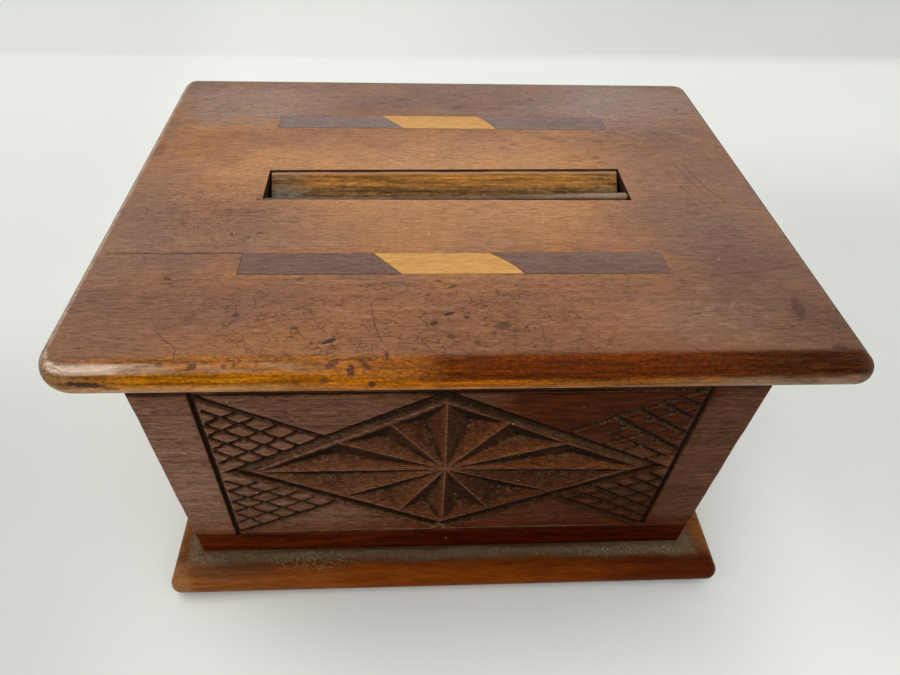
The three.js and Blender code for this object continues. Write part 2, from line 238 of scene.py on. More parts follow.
# --------------------------------------------------------------- materials
class Nodes:
    """Small helper for node graphs. Numbers in millimetres on the object's own coordinates."""

    def __init__(self, name):
        self.mat = bpy.data.materials.new(name)
        self.mat.use_nodes = True
        self.t = self.mat.node_tree
        self.t.nodes.clear()
        self.out = self.t.nodes.new("ShaderNodeOutputMaterial")
        self.bsdf = self.t.nodes.new("ShaderNodeBsdfPrincipled")
        self.t.links.new(self.bsdf.outputs[0], self.out.inputs[0])
        tc = self.t.nodes.new("ShaderNodeTexCoord")
        vm = self.t.nodes.new("ShaderNodeVectorMath")
        vm.operation = "SCALE"
        self.t.links.new(tc.outputs["Object"], vm.inputs[0])
        vm.inputs["Scale"].default_value = 1000.0
        self.P = vm.outputs[0]
        s = self.t.nodes.new("ShaderNodeSeparateXYZ")
        self.t.links.new(self.P, s.inputs[0])
        self.X, self.Y, self.Z = s.outputs

    def _put(self, sock, v):
        if isinstance(v, bpy.types.NodeSocket):
            self.t.links.new(v, sock)
        elif v is not None:
            sock.default_value = v

    def math(self, op, a, b=None, c=None, clamp=False):
        n = self.t.nodes.new("ShaderNodeMath")
        n.operation, n.use_clamp = op, clamp
        for i, v in enumerate((a, b, c)):
            if v is not None:
                self._put(n.inputs[i], v)
        return n.outputs[0]

    def vmath(self, op, a, b=None):
        n = self.t.nodes.new("ShaderNodeVectorMath")
        n.operation = op
        self._put(n.inputs[0], a)
        if b is not None:
            self._put(n.inputs[1], b)
        return n.outputs[0] if op not in ("LENGTH", "DISTANCE", "DOT_PRODUCT") else n.outputs[1]

    def scaled(self, v, s, offset=(0, 0, 0)):
        n = self.t.nodes.new("ShaderNodeVectorMath")
        n.operation = "MULTIPLY_ADD"
        self._put(n.inputs[0], v)
        n.inputs[1].default_value = s
        n.inputs[2].default_value = offset
        return n.outputs[0]

    def noise(self, v, scale=1.0, detail=2.0, rough=0.5, lac=2.0, dist=0.0, color=False):
        n = self.t.nodes.new("ShaderNodeTexNoise")
        n.noise_dimensions = "3D"
        self._put(n.inputs["Vector"], v)
        n.inputs["Scale"].default_value = scale
        n.inputs["Detail"].default_value = detail
        n.inputs["Roughness"].default_value = rough
        n.inputs["Lacunarity"].default_value = lac
        n.inputs["Distortion"].default_value = dist
        return n.outputs["Color"] if color else n.outputs["Fac"]

    def voronoi(self, v, scale=1.0, feature="DISTANCE_TO_EDGE", rnd=1.0, out=None):
        n = self.t.nodes.new("ShaderNodeTexVoronoi")
        n.voronoi_dimensions = "3D"
        n.feature = feature
        self._put(n.inputs["Vector"], v)
        n.inputs["Scale"].default_value = scale
        n.inputs["Randomness"].default_value = rnd
        return n.outputs[out or ("Distance")]

    def ramp(self, fac, a, b, c0=0.0, c1=1.0, smooth=True):
        n = self.t.nodes.new("ShaderNodeMapRange")
        n.interpolation_type = "SMOOTHSTEP" if smooth else "LINEAR"
        self._put(n.inputs[0], fac)
        n.inputs[1].default_value, n.inputs[2].default_value = a, b
        n.inputs[3].default_value, n.inputs[4].default_value = c0, c1
        return n.outputs[0]

    def mix(self, fac, a, b, blend="MIX", clamp=False):
        n = self.t.nodes.new("ShaderNodeMix")
        n.data_type, n.blend_type = "RGBA", blend
        n.clamp_factor = True
        n.clamp_result = clamp
        self._put(n.inputs[0], fac)
        for sock, v in ((n.inputs[6], a), (n.inputs[7], b)):
            self._put(sock, (*v, 1.0) if isinstance(v, tuple) and len(v) == 3 else v)
        return n.outputs[2]

    def attr(self, name):
        n = self.t.nodes.new("ShaderNodeAttribute")
        n.attribute_name = name
        return n.outputs["Fac"]

    def combine(self, x, y, z):
        n = self.t.nodes.new("ShaderNodeCombineXYZ")
        for i, v in enumerate((x, y, z)):
            self._put(n.inputs[i], v)
        return n.outputs[0]

    def bump(self, height, dist_mm, strength=1.0, normal=None):
        n = self.t.nodes.new("ShaderNodeBump")
        n.inputs["Strength"].default_value = strength
        n.inputs["Distance"].default_value = dist_mm * MM
        self._put(n.inputs["Height"], height)
        if normal is not None:
            self._put(n.inputs["Normal"], normal)
        return n.outputs[0]

    def spot(self, x, y, a, b, ang=0.0, soft=0.5, warp=None, plane="XY"):
        """1 inside an ellipse at (x, y) with half axes a, b, fading over soft."""
        u, v = {"XY": (self.X, self.Y), "XZ": (self.X, self.Z)}[plane]
        dx, dy = self.math("SUBTRACT", u, x), self.math("SUBTRACT", v, y)
        c, s = math.cos(ang), math.sin(ang)
        p = self.math("ADD", self.math("MULTIPLY", dx, c / a), self.math("MULTIPLY", dy, s / a))
        q = self.math("ADD", self.math("MULTIPLY", dx, -s / b), self.math("MULTIPLY", dy, c / b))
        r = self.math("SQRT", self.math("ADD", self.math("MULTIPLY", p, p), self.math("MULTIPLY", q, q)))
        if warp is not None:
            r = self.math("ADD", r, warp)
        return self.ramp(r, 1.0 + soft, 1.0 - soft, 0.0, 1.0)


def mul(c, k):
    return tuple(min(1.0, x * k) for x in c)


def wood(name, dark, mid, light, grain="X", pore=0.5, rough=(0.34, 0.5), bump=0.05, seed=0.0, streak=1.0, fibre=0.5, spec=0.3,
         rings=None, finish=None, coat=0.0):
    """Close-grained wood: growth rings, soft figure, fibre and short dark pores along the grain."""
    n = Nodes(name)
    ax = {"X": 0, "Y": 1, "Z": 2}[grain]

    def along(a, b):
        return tuple(a if i == ax else b for i in range(3))

    off = (seed * 13.7, seed * 7.3, seed * 3.1)
    wob = n.noise(n.scaled(n.P, (0.03, 0.05, 0.05), off), 1.0, 2.0, 0.5, color=True)
    q = n.vmath("ADD", n.P, n.vmath("MULTIPLY", n.vmath("SUBTRACT", wob, (0.5, 0.5, 0.5)), along(0.0, 5.0)))
    broad = n.noise(n.scaled(q, along(0.008, 0.10), off), 1.0, 3.0, 0.55)
    mids = n.noise(n.scaled(q, along(0.045, 0.60), off), 1.0, 4.0, 0.6)
    hairs = n.noise(n.scaled(q, along(0.22, 1.75), off), 1.0, 3.0, 0.66)
    speck = n.noise(n.scaled(q, along(0.75, 2.2), (off[1], off[2], off[0])), 1.0, 2.0, 0.6)
    pores = n.noise(n.scaled(q, along(0.28, 2.1), (off[2], off[0], off[1])), 1.0, 1.5, 0.5)
    pdens = n.ramp(n.noise(n.scaled(n.P, along(0.03, 0.08), off), 1.0, 2.0), 0.30, 0.70, 0.25, 1.0)
    pmask = n.math("MULTIPLY", n.ramp(pores, 0.575, 0.66), pdens)
    t = n.math("MULTIPLY", n.math("SUBTRACT", broad, 0.5), 1.5 * streak)
    t = n.math("MULTIPLY_ADD", n.math("SUBTRACT", mids, 0.5), 1.3 * streak, t)
    if rings:
        (ry, rz, gap, amp) = rings
        a, b = {"X": (n.Y, n.Z), "Y": (n.X, n.Z), "Z": (n.X, n.Y)}[grain]
        da, db = n.math("SUBTRACT", a, ry), n.math("SUBTRACT", b, rz)
        rad = n.math("SQRT", n.math("ADD", n.math("MULTIPLY", da, da), n.math("MULTIPLY", db, db)))
        rad = n.math("MULTIPLY_ADD", n.math("SUBTRACT", n.noise(n.scaled(n.P, along(0.02, 0.12), off), 1.0, 3.0), 0.5), gap * 3.0, rad)
        w = n.math("SINE", n.math("MULTIPLY", rad, 2 * math.pi / gap))
        t = n.math("MULTIPLY_ADD", w, amp, t)
    col = n.mix(n.ramp(t, -0.5, 0.0), dark, mid)
    col = n.mix(n.ramp(t, 0.0, 0.5), col, light)
    f = n.math("MULTIPLY_ADD", n.math("SUBTRACT", hairs, 0.5), 1.9 * fibre, 1.0)
    f = n.math("MULTIPLY_ADD", n.math("SUBTRACT", speck, 0.5), 1.1 * fibre, f)
    height = n.math("ADD", n.math("MULTIPLY", hairs, 0.45), n.math("MULTIPLY", pmask, -0.8))
    c = dict(n=n, col=col, fibre=f, rough=n.ramp(n.math("ADD", hairs, n.math("MULTIPLY", broad, 0.6)), 0.55, 1.05, rough[0], rough[1]), height=height,
             pmask=pmask, hairs=hairs, broad=broad, mids=mids, speck=speck, q=q, porek=pore, over=None)
    if finish:
        finish(c)
    col = n.vmath("MULTIPLY", c["col"], n.combine(c["fibre"], c["fibre"], c["fibre"]))
    col = n.mix(n.math("MULTIPLY", c["pmask"], c["porek"]), col, n.vmath("MULTIPLY", col, (0.38, 0.32, 0.30)))
    if c["over"] is not None:
        for mask, colour in c["over"]:
            col = n.mix(mask, col, colour)
    n._put(n.bsdf.inputs["Base Color"], col)
    n._put(n.bsdf.inputs["Roughness"], c["rough"])
    n.bsdf.inputs["Specular IOR Level"].default_value = spec
    if coat:
        n.bsdf.inputs["Coat Weight"].default_value = coat
        n.bsdf.inputs["Coat Roughness"].default_value = 0.12
    n._put(n.bsdf.inputs["Normal"], n.bump(c["height"], bump))
    return n.mat


def set_material(ob, mat):
    ob.data.materials.clear()
    ob.data.materials.append(mat)


def cad_material(node, mat):
    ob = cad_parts[node]
    if len(ob.material_slots) == 0:
        ob.data.materials.append(mat)
    for s in ob.material_slots:
        s.link = "OBJECT"
        s.material = mat


# ---- the lid's finish: worn shellac, crackled at the front, with ink stains and dents, and painted sheen, highlights and shade
STAINS = [  # x, y, half length, half width, angle, strength
    (-29.1, -61.8, 1.9, 0.75, 0.45, 0.95), (-2.9, -53.4, 1.5, 0.65, 0.35, 0.95), (-6.5, -56.5, 1.1, 0.8, 0.4, 0.85), (-2.9, -60.7, 1.0, 1.0, 0.3, 0.6),
    (0.9, -54.7, 0.9, 0.55, -0.3, 0.8), (-50.2, -53.5, 1.0, 0.7, 0.2, 0.7), (-37.4, -41.2, 1.0, 0.7, 0.5, 0.6), (-36.8, -57.7, 0.8, 0.6, 0.0, 0.65),
    (-16.7, -66.1, 0.45, 1.3, 0.1, 0.9), (-28.0, -67.9, 1.6, 0.8, 0.4, 0.7), (-24.1, -69.0, 1.1, 0.9, 0.0, 0.85), (-21.3, -68.0, 1.7, 0.6, -0.7, 0.75),
    (-56.5, -68.2, 1.4, 0.7, 0.2, 0.75), (-63.2, -67.8, 0.9, 0.6, 0.0, 0.5), (-50.0, -68.2, 0.7, 0.5, 0.0, 0.6), (-48.2, -68.1, 0.6, 0.5, 0.0, 0.55),
    (-5.0, -42.1, 1.0, 0.5, 0.0, 0.6), (-1.7, -44.1, 1.2, 0.7, 0.4, 0.65), (-7.6, -47.1, 0.8, 0.4, 0.0, 0.45), (2.6, -62.7, 1.0, 0.8, 0.0, 0.6),
    (8.8, -57.4, 2.6, 1.5, 0.3, 0.6), (11.6, -59.0, 1.2, 0.8, 0.0, 0.5), (6.5, -59.6, 1.0, 0.7, 0.0, 0.5), (-68.3, -40.8, 1.3, 0.7, -0.4, 0.6), (-67.0, -42.8, 0.8, 0.4, 0.0, 0.5),
    (78.1, -52.5, 1.6, 4.2, -0.15, 0.45), (81.9, -65.2, 1.8, 0.9, 0.0, 0.6), (87.3, -53.2, 0.7, 0.7, 0.0, 0.7),
    (-56.2, -23.6, 1.1, 0.6, 0.2, 0.75), (-49.8, -22.9, 1.1, 0.5, 0.2, 0.75), (-52.5, -25.0, 1.7, 1.3, 0.5, 0.35), (-52.3, -7.6, 0.9, 0.45, 0.15, 0.8), (-52.6, -13.5, 2.6, 0.5, 0.25, 0.5),
    (-71.0, 47.0, 5.5, 3.6, 0.2, 0.16), (-85.5, 20.0, 1.6, 6.0, 0.05, 0.2), (38.0, 15.0, 4.0, 2.2, 0.1, 0.2), (32.0, 27.5, 3.2, 1.4, 0.0, 0.2),
]
RIM_STAINS = [(-19.9, 105.2, 0.9, 1.2, 0.0, 0.9), (-29.8, 106.3, 1.3, 0.9, 0.3, 0.6), (-78.3, 105.9, 4.4, 0.75, -0.12, 0.95), (-73.5, 104.8, 2.4, 0.7, -0.15, 0.6)]
DENTS = [(4.8, 48.1, 1.5, 0.85), (21.2, 23.2, 1.35, 0.95), (17.2, 21.0, 1.0, 0.9), (45.1, 15.3, 1.2, 0.8), (46.3, 12.9, 1.2, 0.75), (7.9, 56.5, 1.4, 0.5),
         (81.8, 44.9, 2.0, 0.6), (79.6, 47.6, 1.0, 0.5), (30.5, 53.8, 1.6, 0.35), (48.6, 25.4, 1.6, 0.4), (-12.0, 53.5, 2.2, 0.5), (-20.0, 51.0, 1.3, 0.4), (-36.0, 55.0, 1.5, 0.35)]
SCRATCHES = [  # x, y, x, y, half width, dark or pale
    (68.0, 13.5, 73.5, -7.0, 0.16, 1), (71.0, 12.0, 77.0, -9.0, 0.14, 1), (64.5, 8.0, 72.0, -13.0, 0.12, 1), (48.2, 47.4, 52.8, 41.2, 0.16, -1), (56.0, 43.8, 57.6, 39.5, 0.14, -1),
    (-66.8, -57.6, -60.6, -63.6, 0.15, 1), (-60.6, -63.6, -60.4, -67.0, 0.15, 1), (-46.4, -55.8, -31.0, -48.0, 0.13, 1), (-20.6, -49.5, -17.6, -62.5, 0.15, 1),
    (-9.6, -61.0, -7.0, -65.0, 0.14, 1), (-53.6, -58.5, -48.6, -53.6, 0.12, 1), (60.0, -40.0, 84.0, -36.5, 0.10, 1), (73.0, 33.0, 81.0, 27.0, 0.12, -1)]


def stroke(n, x0, y0, x1, y1, half, soft=0.12):
    L = math.hypot(x1 - x0, y1 - y0)
    ux, uy = (x1 - x0) / L, (y1 - y0) / L
    dx, dy = n.math("SUBTRACT", n.X, x0), n.math("SUBTRACT", n.Y, y0)
    u = n.math("ADD", n.math("MULTIPLY", dx, ux), n.math("MULTIPLY", dy, uy))
    v = n.math("ADD", n.math("MULTIPLY", dx, -uy), n.math("MULTIPLY", dy, ux))
    v = n.math("ADD", v, n.math("MULTIPLY", n.math("SINE", n.math("MULTIPLY", u, 3.1 / L)), 0.04 * L))
    m = n.ramp(n.math("ABSOLUTE", v), half + soft, half - soft * 0.5)
    end = n.math("MULTIPLY", n.ramp(u, -0.2, 0.8), n.ramp(u, L + 0.2, L - 0.8))
    return n.math("MULTIPLY", m, end)


def lid_finish(c):
    n = c["n"]
    col, h = c["col"], c["height"]
    # short dark dashes and a mottled, uneven polish
    dash = n.noise(n.scaled(n.P, (0.55, 1.7, 1.7), (3, 8, 5)), 1.0, 2.5, 0.6)
    c["fibre"] = n.math("MULTIPLY", c["fibre"], n.ramp(dash, 0.24, 0.46, 0.62, 1.0))
    mot = n.noise(n.scaled(n.P, (0.055, 0.085, 0.085), (5, 5, 1)), 1.0, 4.0, 0.62)
    col = n.vmath("MULTIPLY", col, n.mix(n.ramp(mot, 0.36, 0.64), (0.84, 0.88, 1.04), (1.16, 1.10, 0.94)))
    wn = n.noise(n.scaled(n.P, (0.035, 0.05, 0.05)), 1.0, 3.0, 0.55)
    wn2 = n.noise(n.scaled(n.P, (0.10, 0.16, 0.16), (4, 1, 8)), 1.0, 3.0, 0.6)
    warp = n.math("MULTIPLY_ADD", n.math("SUBTRACT", wn, 0.5), 1.1, n.math("MULTIPLY", n.math("SUBTRACT", wn2, 0.5), 0.7))
    sheen_haze_patches = [  # painted sheen pale in the middle, painted reflection haze at the back, darker towards the front right
        (-2, 4, 60, 25, 0.75, (0.580, 0.290, 0.138), 0.95), (0, 24, 60, 6, 0.9, (0.36, 0.185, 0.122), 0.5), (-24, -19, 26, 12, 0.7, (0.42, 0.205, 0.095), 0.55), (22, -17, 20, 12, 0.6, (0.45, 0.225, 0.105), 0.6),
        (0, 62, 105, 22, 0.45, (0.205, 0.148, 0.136), 0.85), (-60, 47, 20, 13, 0.7, (0.355, 0.245, 0.190), 0.80), (62, 51, 28, 16, 0.7, (0.335, 0.240, 0.212), 0.85), (2, 68, 30, 5, 0.7, (0.225, 0.165, 0.145), 0.5),
        (76, 0, 26, 44, 0.6, (0.200, 0.122, 0.106), 0.85), (60, -20, 16, 14, 0.8, (0.210, 0.118, 0.090), 0.8), (78, -42, 20, 18, 0.7, (0.148, 0.084, 0.066), 0.85),
        (-86, -20, 13, 34, 0.7, (0.240, 0.140, 0.105), 0.8), (-62, -22, 26, 16, 0.8, (0.232, 0.132, 0.104), 0.75),
        (0, -60, 110, 17, 0.5, (0.275, 0.120, 0.062), 0.78), (2, -59, 20, 8, 0.8, (0.212, 0.092, 0.050), 0.75), (-45, -61, 22, 6, 0.7, (0.310, 0.132, 0.052), 0.7), (-66, -50, 24, 11, 0.8, (0.178, 0.092, 0.070), 0.85),
        (-80, -58, 16, 10, 0.7, (0.205, 0.106, 0.068), 0.75), (52, -55, 12, 6, 0.8, (0.275, 0.158, 0.112), 0.6), (66, -50, 18, 14, 0.8, (0.165, 0.088, 0.064), 0.8), (90, -63, 17, 13, 0.7, (0.090, 0.052, 0.040), 0.9), (38, -63, 22, 4, 0.8, (0.170, 0.078, 0.044), 0.6), (30, -44, 24, 7, 0.8, (0.255, 0.122, 0.078), 0.5)]
    for x, y, a, b, soft, colour, k in sheen_haze_patches:
        col = n.mix(n.math("MULTIPLY", n.spot(x, y, a, b, 0.0, soft, warp), k), col, n.vmath("MULTIPLY", n.mix(0.30, colour, col), (1.0, 1.0, 1.0)))
    # bloom and painted reflection haze: pale specks and smears in the polish
    sm = n.ramp(n.noise(n.scaled(n.P, (0.22, 0.30, 0.3), (6, 2, 9)), 1.0, 4.0, 0.65), 0.50, 0.72)
    bloom_haze = n.math("MAXIMUM", n.spot(-62, 48, 20, 12, 0.2, 0.8, warp), n.math("MAXIMUM", n.spot(56, -54, 15, 9, 0.2, 0.8, warp), n.spot(64, 46, 26, 18, 0.0, 0.8, warp)))
    col = n.mix(n.math("MULTIPLY", n.math("MULTIPLY", sm, bloom_haze), 0.20), col, (0.47, 0.37, 0.31))
    # crackled varnish: two sizes of net, drawn out across and along the grain
    wv = n.noise(n.scaled(n.P, (0.55, 0.55, 0.55)), 1.0, 2.0, 0.5, color=True)
    wq = n.vmath("MULTIPLY", n.vmath("SUBTRACT", wv, (0.5, 0.5, 0.5)), (1.1, 1.1, 1.1))
    ck = n.voronoi(n.vmath("ADD", n.scaled(n.P, (0.30, 0.36, 0.3)), n.vmath("MULTIPLY", wq, (0.55, 0.55, 0.55))), 1.0)
    ck2 = n.voronoi(n.vmath("ADD", n.scaled(n.P, (0.62, 0.95, 0.8), (4, 9, 2)), wq), 1.0)
    l1 = n.ramp(ck, 0.034, 0.010)
    l2 = n.math("MULTIPLY", n.ramp(ck2, 0.060, 0.015), 0.8)
    front = n.ramp(n.Y, -34.0, -50.0, 0.10, 1.0)
    reg = n.math("MAXIMUM", n.math("MULTIPLY", front, n.math("MULTIPLY", n.ramp(n.X, 52.0, 18.0, 0.08, 1.0), n.ramp(n.X, -74.0, -44.0, 0.22, 1.0))), n.math("MULTIPLY", n.spot(-62, -14, 22, 18, 0.2, 0.6, warp), 0.8))
    reg = n.math("MULTIPLY", reg, n.ramp(wn2, 0.30, 0.55, 0.45, 1.0))
    brk = n.ramp(n.noise(n.scaled(n.P, (0.30, 0.42, 0.4), (1, 5, 2)), 1.0, 2.0), 0.40, 0.52)
    brk2 = n.ramp(n.noise(n.scaled(n.P, (0.25, 0.35, 0.4), (8, 3, 1)), 1.0, 2.0), 0.46, 0.58)
    top = n.ramp(n.Z, LID_TOP - 0.9, LID_TOP - 0.2)
    crack = n.math("MAXIMUM", n.math("MULTIPLY", l1, brk), n.math("MULTIPLY", l2, brk2))
    crack = n.math("MULTIPLY", n.math("MULTIPLY", crack, reg), top)
    h = n.math("MULTIPLY_ADD", crack, -0.7, h)
    # the rounded edge: amber where the wood shows, with painted shade dark towards the right and a painted pale band
    # lit by the floor below
    yr = n.math("SUBTRACT", n.math("MULTIPLY_ADD", n.math("SUBTRACT", wn2, 0.5), 1.2, n.Y), n.ramp(n.X, -20.0, 60.0, 0.0, 0.4))
    frontal = n.ramp(yr, -65.0, -67.2)
    rim = n.math("MAXIMUM", n.ramp(n.Z, LID_TOP - 0.2, LID_TOP - 0.9), frontal)
    jit = n.math("MULTIPLY", n.math("SUBTRACT", n.noise(n.scaled(n.P, (0.12, 0.8, 0.8), (1, 6, 3)), 1.0, 4.0, 0.65), 0.5), 2.2)
    low = n.ramp(n.math("ADD", n.math("ADD", n.Z, jit), n.ramp(n.X, -46.0, -4.0, 0.0, 2.1)), LID_TOP - 0.8, LID_TOP - 2.1)
    zf = n.math("ADD", jit, n.math("MULTIPLY_ADD", n.X, -0.007, n.Z))
    foot_floor_light = n.math("MULTIPLY", n.ramp(zf, LID_TOP - 3.1, LID_TOP - 5.0), n.math("MAXIMUM", n.ramp(n.X, 36.0, 66.0, 0.0, 0.85), n.ramp(n.X, -15.0, -60.0, 0.0, 0.62)))
    foot_floor_light = n.math("MAXIMUM", foot_floor_light, n.math("MULTIPLY", n.ramp(zf, LID_TOP - 5.6, LID_TOP - 6.6), 0.6))
    xr = n.math("MULTIPLY_ADD", n.math("SUBTRACT", wn, 0.5), 40.0, n.X)
    upc = n.mix(n.ramp(xr, -26.0, 6.0), (0.320, 0.105, 0.014), (0.120, 0.022, 0.0012))
    upc = n.mix(n.ramp(xr, -58.0, -80.0), upc, (0.200, 0.082, 0.034))
    upc = n.mix(n.ramp(xr, 30.0, 80.0), upc, (0.060, 0.0148, 0.0024))
    loc = n.mix(n.ramp(xr, -50.0, 0.0), (0.400, 0.132, 0.003), (0.420, 0.112, 0.0012))
    loc = n.mix(n.ramp(xr, 4.0, 30.0), loc, (0.250, 0.078, 0.005))
    loc = n.mix(n.ramp(xr, 50.0, 72.0), loc, (0.090, 0.026, 0.005))
    loc = n.mix(n.ramp(xr, -66.0, -84.0), loc, (0.270, 0.125, 0.040))
    foot_floor_light_col = n.mix(n.ramp(xr, -10.0, 60.0), (0.640, 0.375, 0.195), (0.320, 0.190, 0.115))
    up_t = n.ramp(n.noise(n.scaled(n.P, (0.07, 0.9, 1.1), (2, 2, 2)), 1.0, 4.0, 0.65), 0.34, 0.66, 0.60, 1.40)
    grit = n.ramp(n.noise(n.scaled(n.P, (1.1, 1.9, 1.9), (2, 5, 8)), 1.0, 3.0, 0.6), 0.30, 0.70, 0.66, 1.30)
    up_t = n.math("MULTIPLY", up_t, grit)
    upc = n.vmath("MULTIPLY", upc, n.combine(up_t, up_t, up_t))
    loc = n.vmath("MULTIPLY", loc, n.combine(up_t, up_t, up_t))
    col = n.mix(n.math("MULTIPLY", rim, 0.99), col, upc)
    col = n.mix(n.math("MULTIPLY", low, 0.99), col, loc)
    col = n.mix(n.math("MULTIPLY", foot_floor_light, n.ramp(wn2, 0.36, 0.58, 0.55, 0.95)), col, foot_floor_light_col)
    # painted highlight, pale along the upper rounding at the left
    rim_highlight = n.math("MULTIPLY", n.math("MULTIPLY", n.ramp(n.Z, LID_TOP - 0.15, LID_TOP - 0.5), n.ramp(n.Z, LID_TOP - 2.0, LID_TOP - 1.1)), n.ramp(xr, -12.0, -50.0))
    rim_highlight = n.math("MULTIPLY", rim_highlight, n.ramp(n.noise(n.scaled(n.P, (0.10, 0.7, 0.7), (9, 2, 4)), 1.0, 4.0, 0.7), 0.36, 0.62, 0.10, 0.70))
    rim_highlight = n.math("MAXIMUM", rim_highlight, n.math("MULTIPLY", n.math("MULTIPLY", n.ramp(n.Z, LID_TOP - 0.2, LID_TOP - 0.6), n.ramp(n.Z, LID_TOP - 1.9, LID_TOP - 1.2)), n.math("MULTIPLY", frontal, n.ramp(n.X, -66.0, -74.0, 0.0, 0.9))))
    col = n.mix(rim_highlight, col, n.mix(n.ramp(n.X, -60.0, -76.0), (0.440, 0.250, 0.150), (0.720, 0.520, 0.400)))
    # side and back edges keep more of the brown polish
    side = n.math("MAXIMUM", n.ramp(n.math("ABSOLUTE", n.X), 84.5, 88.5), n.ramp(n.Y, 64.0, 68.5))
    col = n.mix(n.math("MULTIPLY", n.math("MULTIPLY", side, rim), 0.70), col, n.mix(n.ramp(n.X, -20.0, 20.0), (0.270, 0.150, 0.085), (0.105, 0.052, 0.032)))
    # end grain swirls at the worn front left corner
    ex, ey = n.math("ADD", n.X, 84.0), n.math("SUBTRACT", n.Z, LID_TOP - 2.0)
    er = n.math("SQRT", n.math("ADD", n.math("MULTIPLY", ex, ex), n.math("MULTIPLY", n.math("MULTIPLY", ey, ey), 2.2)))
    er = n.math("MULTIPLY_ADD", n.math("SUBTRACT", n.noise(n.scaled(n.P, (0.16, 0.16, 0.30), (3, 3, 9)), 1.0, 3.0), 0.5), 5.0, er)
    el = n.ramp(n.math("SINE", n.math("MULTIPLY", er, 6.6)), 0.2, 0.95)
    ereg = n.math("MULTIPLY", n.math("MULTIPLY", n.ramp(n.X, -79.0, -84.0), n.ramp(n.Y, -58.0, -63.0)), rim)
    col = n.mix(n.math("MULTIPLY", n.math("MULTIPLY", el, ereg), 0.34), col, (0.085, 0.042, 0.026))
    c["col"], c["height"] = col, h
    # ink stains
    sw = n.math("MULTIPLY", n.math("SUBTRACT", n.noise(n.scaled(n.P, (1.0, 1.0, 1.0)), 1.0, 3.0, 0.65), 0.5), 1.7)
    st = None
    for plane, rows in (("XY", STAINS), ("XZ", RIM_STAINS)):
        for x, y, a, b, ang, k in rows:
            m = n.math("MULTIPLY", n.spot(x, y, a * 0.85, b * 0.85, ang, 0.22, sw, plane), k)
            if plane == "XZ":
                m = n.math("MULTIPLY", m, n.ramp(n.Y, -64.0, -66.5))
            st = m if st is None else n.math("MAXIMUM", st, m)
    st = n.math("MULTIPLY", st, n.ramp(n.Z, LID_BOT + 1.0, LID_BOT + 2.5))
    # hairline crack running from the left edge to the front band
    wy = n.math("MULTIPLY", n.math("SUBTRACT", n.noise(n.scaled(n.P, (0.13, 0.0, 0.0), (2, 0, 0)), 1.0, 3.0), 0.5), 1.3)
    d = n.math("ABSOLUTE", n.math("ADD", n.math("SUBTRACT", n.Y, -31.35), wy))
    hl = n.math("MULTIPLY", n.math("MULTIPLY", n.ramp(d, 0.24, 0.05), n.ramp(n.X, -51.8, -52.6)), n.ramp(n.X, -89.0, -80.0, 0.2, 1.0))
    h = n.math("MULTIPLY_ADD", hl, -1.5, h)
    # small dents, dark on one side
    dn = None
    for x, y, a, b in DENTS:
        m = n.spot(x, y, a, b, 0.1, 0.5)
        dn = m if dn is None else n.math("MAXIMUM", dn, m)
    h = n.math("MULTIPLY_ADD", dn, -4.0, h)
    dark_s, pale_s = None, None
    for x0, y0, x1, y1, half, kind in SCRATCHES:
        m = stroke(n, x0, y0, x1, y1, half)
        if kind > 0:
            dark_s = m if dark_s is None else n.math("MAXIMUM", dark_s, m)
        else:
            pale_s = m if pale_s is None else n.math("MAXIMUM", pale_s, m)
    topm = n.ramp(n.Z, LID_TOP - 1.0, LID_TOP - 0.3)
    # inside the slot: a dark arris and wall, with painted shadow going black lower down
    ins = n.math("MULTIPLY", n.math("MULTIPLY", n.ramp(n.X, -52.2, -51.5), n.ramp(n.X, 51.2, 50.5)), n.math("MULTIPLY", n.ramp(n.Y, -17.8, -17.2), n.ramp(n.Y, 10.2, 9.4)))
    ins = n.math("MULTIPLY", ins, n.ramp(n.Z, LID_TOP - 0.12, LID_TOP - 0.3))
    wall = n.mix(n.ramp(n.Z, LID_TOP - 1.1, LID_TOP - 0.5), (0.046, 0.024, 0.015), (0.050, 0.020, 0.013))
    shadow_dark = n.ramp(n.math("MULTIPLY_ADD", n.Y, -0.31, n.Z), 106.2, 105.5)
    wall = n.mix(shadow_dark, wall, (0.004, 0.003, 0.003))
    # dust specks
    vs = n.voronoi(n.scaled(n.P, (0.12, 0.12, 0.12), (7, 3, 1)), 1.0, "F1")
    speck = n.math("MULTIPLY", n.ramp(vs, 0.034, 0.018), topm)
    c["over"] = [(n.math("MULTIPLY", crack, 0.62), (0.040, 0.014, 0.010)), (n.math("MULTIPLY", st, 0.88), (0.030, 0.020, 0.022)),
                 (n.math("MULTIPLY", hl, 0.8), (0.018, 0.008, 0.006)), (n.math("MULTIPLY", dn, 0.35), (0.05, 0.022, 0.018)),
                 (n.math("MULTIPLY", n.math("MULTIPLY", dark_s, topm), 0.45), (0.04, 0.016, 0.012)), (n.math("MULTIPLY", n.math("MULTIPLY", pale_s, topm), 0.4), (0.55, 0.47, 0.40)),
                 (ins, wall), (n.math("MULTIPLY", speck, 0.75), (0.72, 0.66, 0.60))]
    c["height"] = h
    r = n.math("MULTIPLY_ADD", n.math("SUBTRACT", wn2, 0.5), 0.22, c["rough"])
    c["rough"] = n.math("MULTIPLY_ADD", rim, -0.07, r)


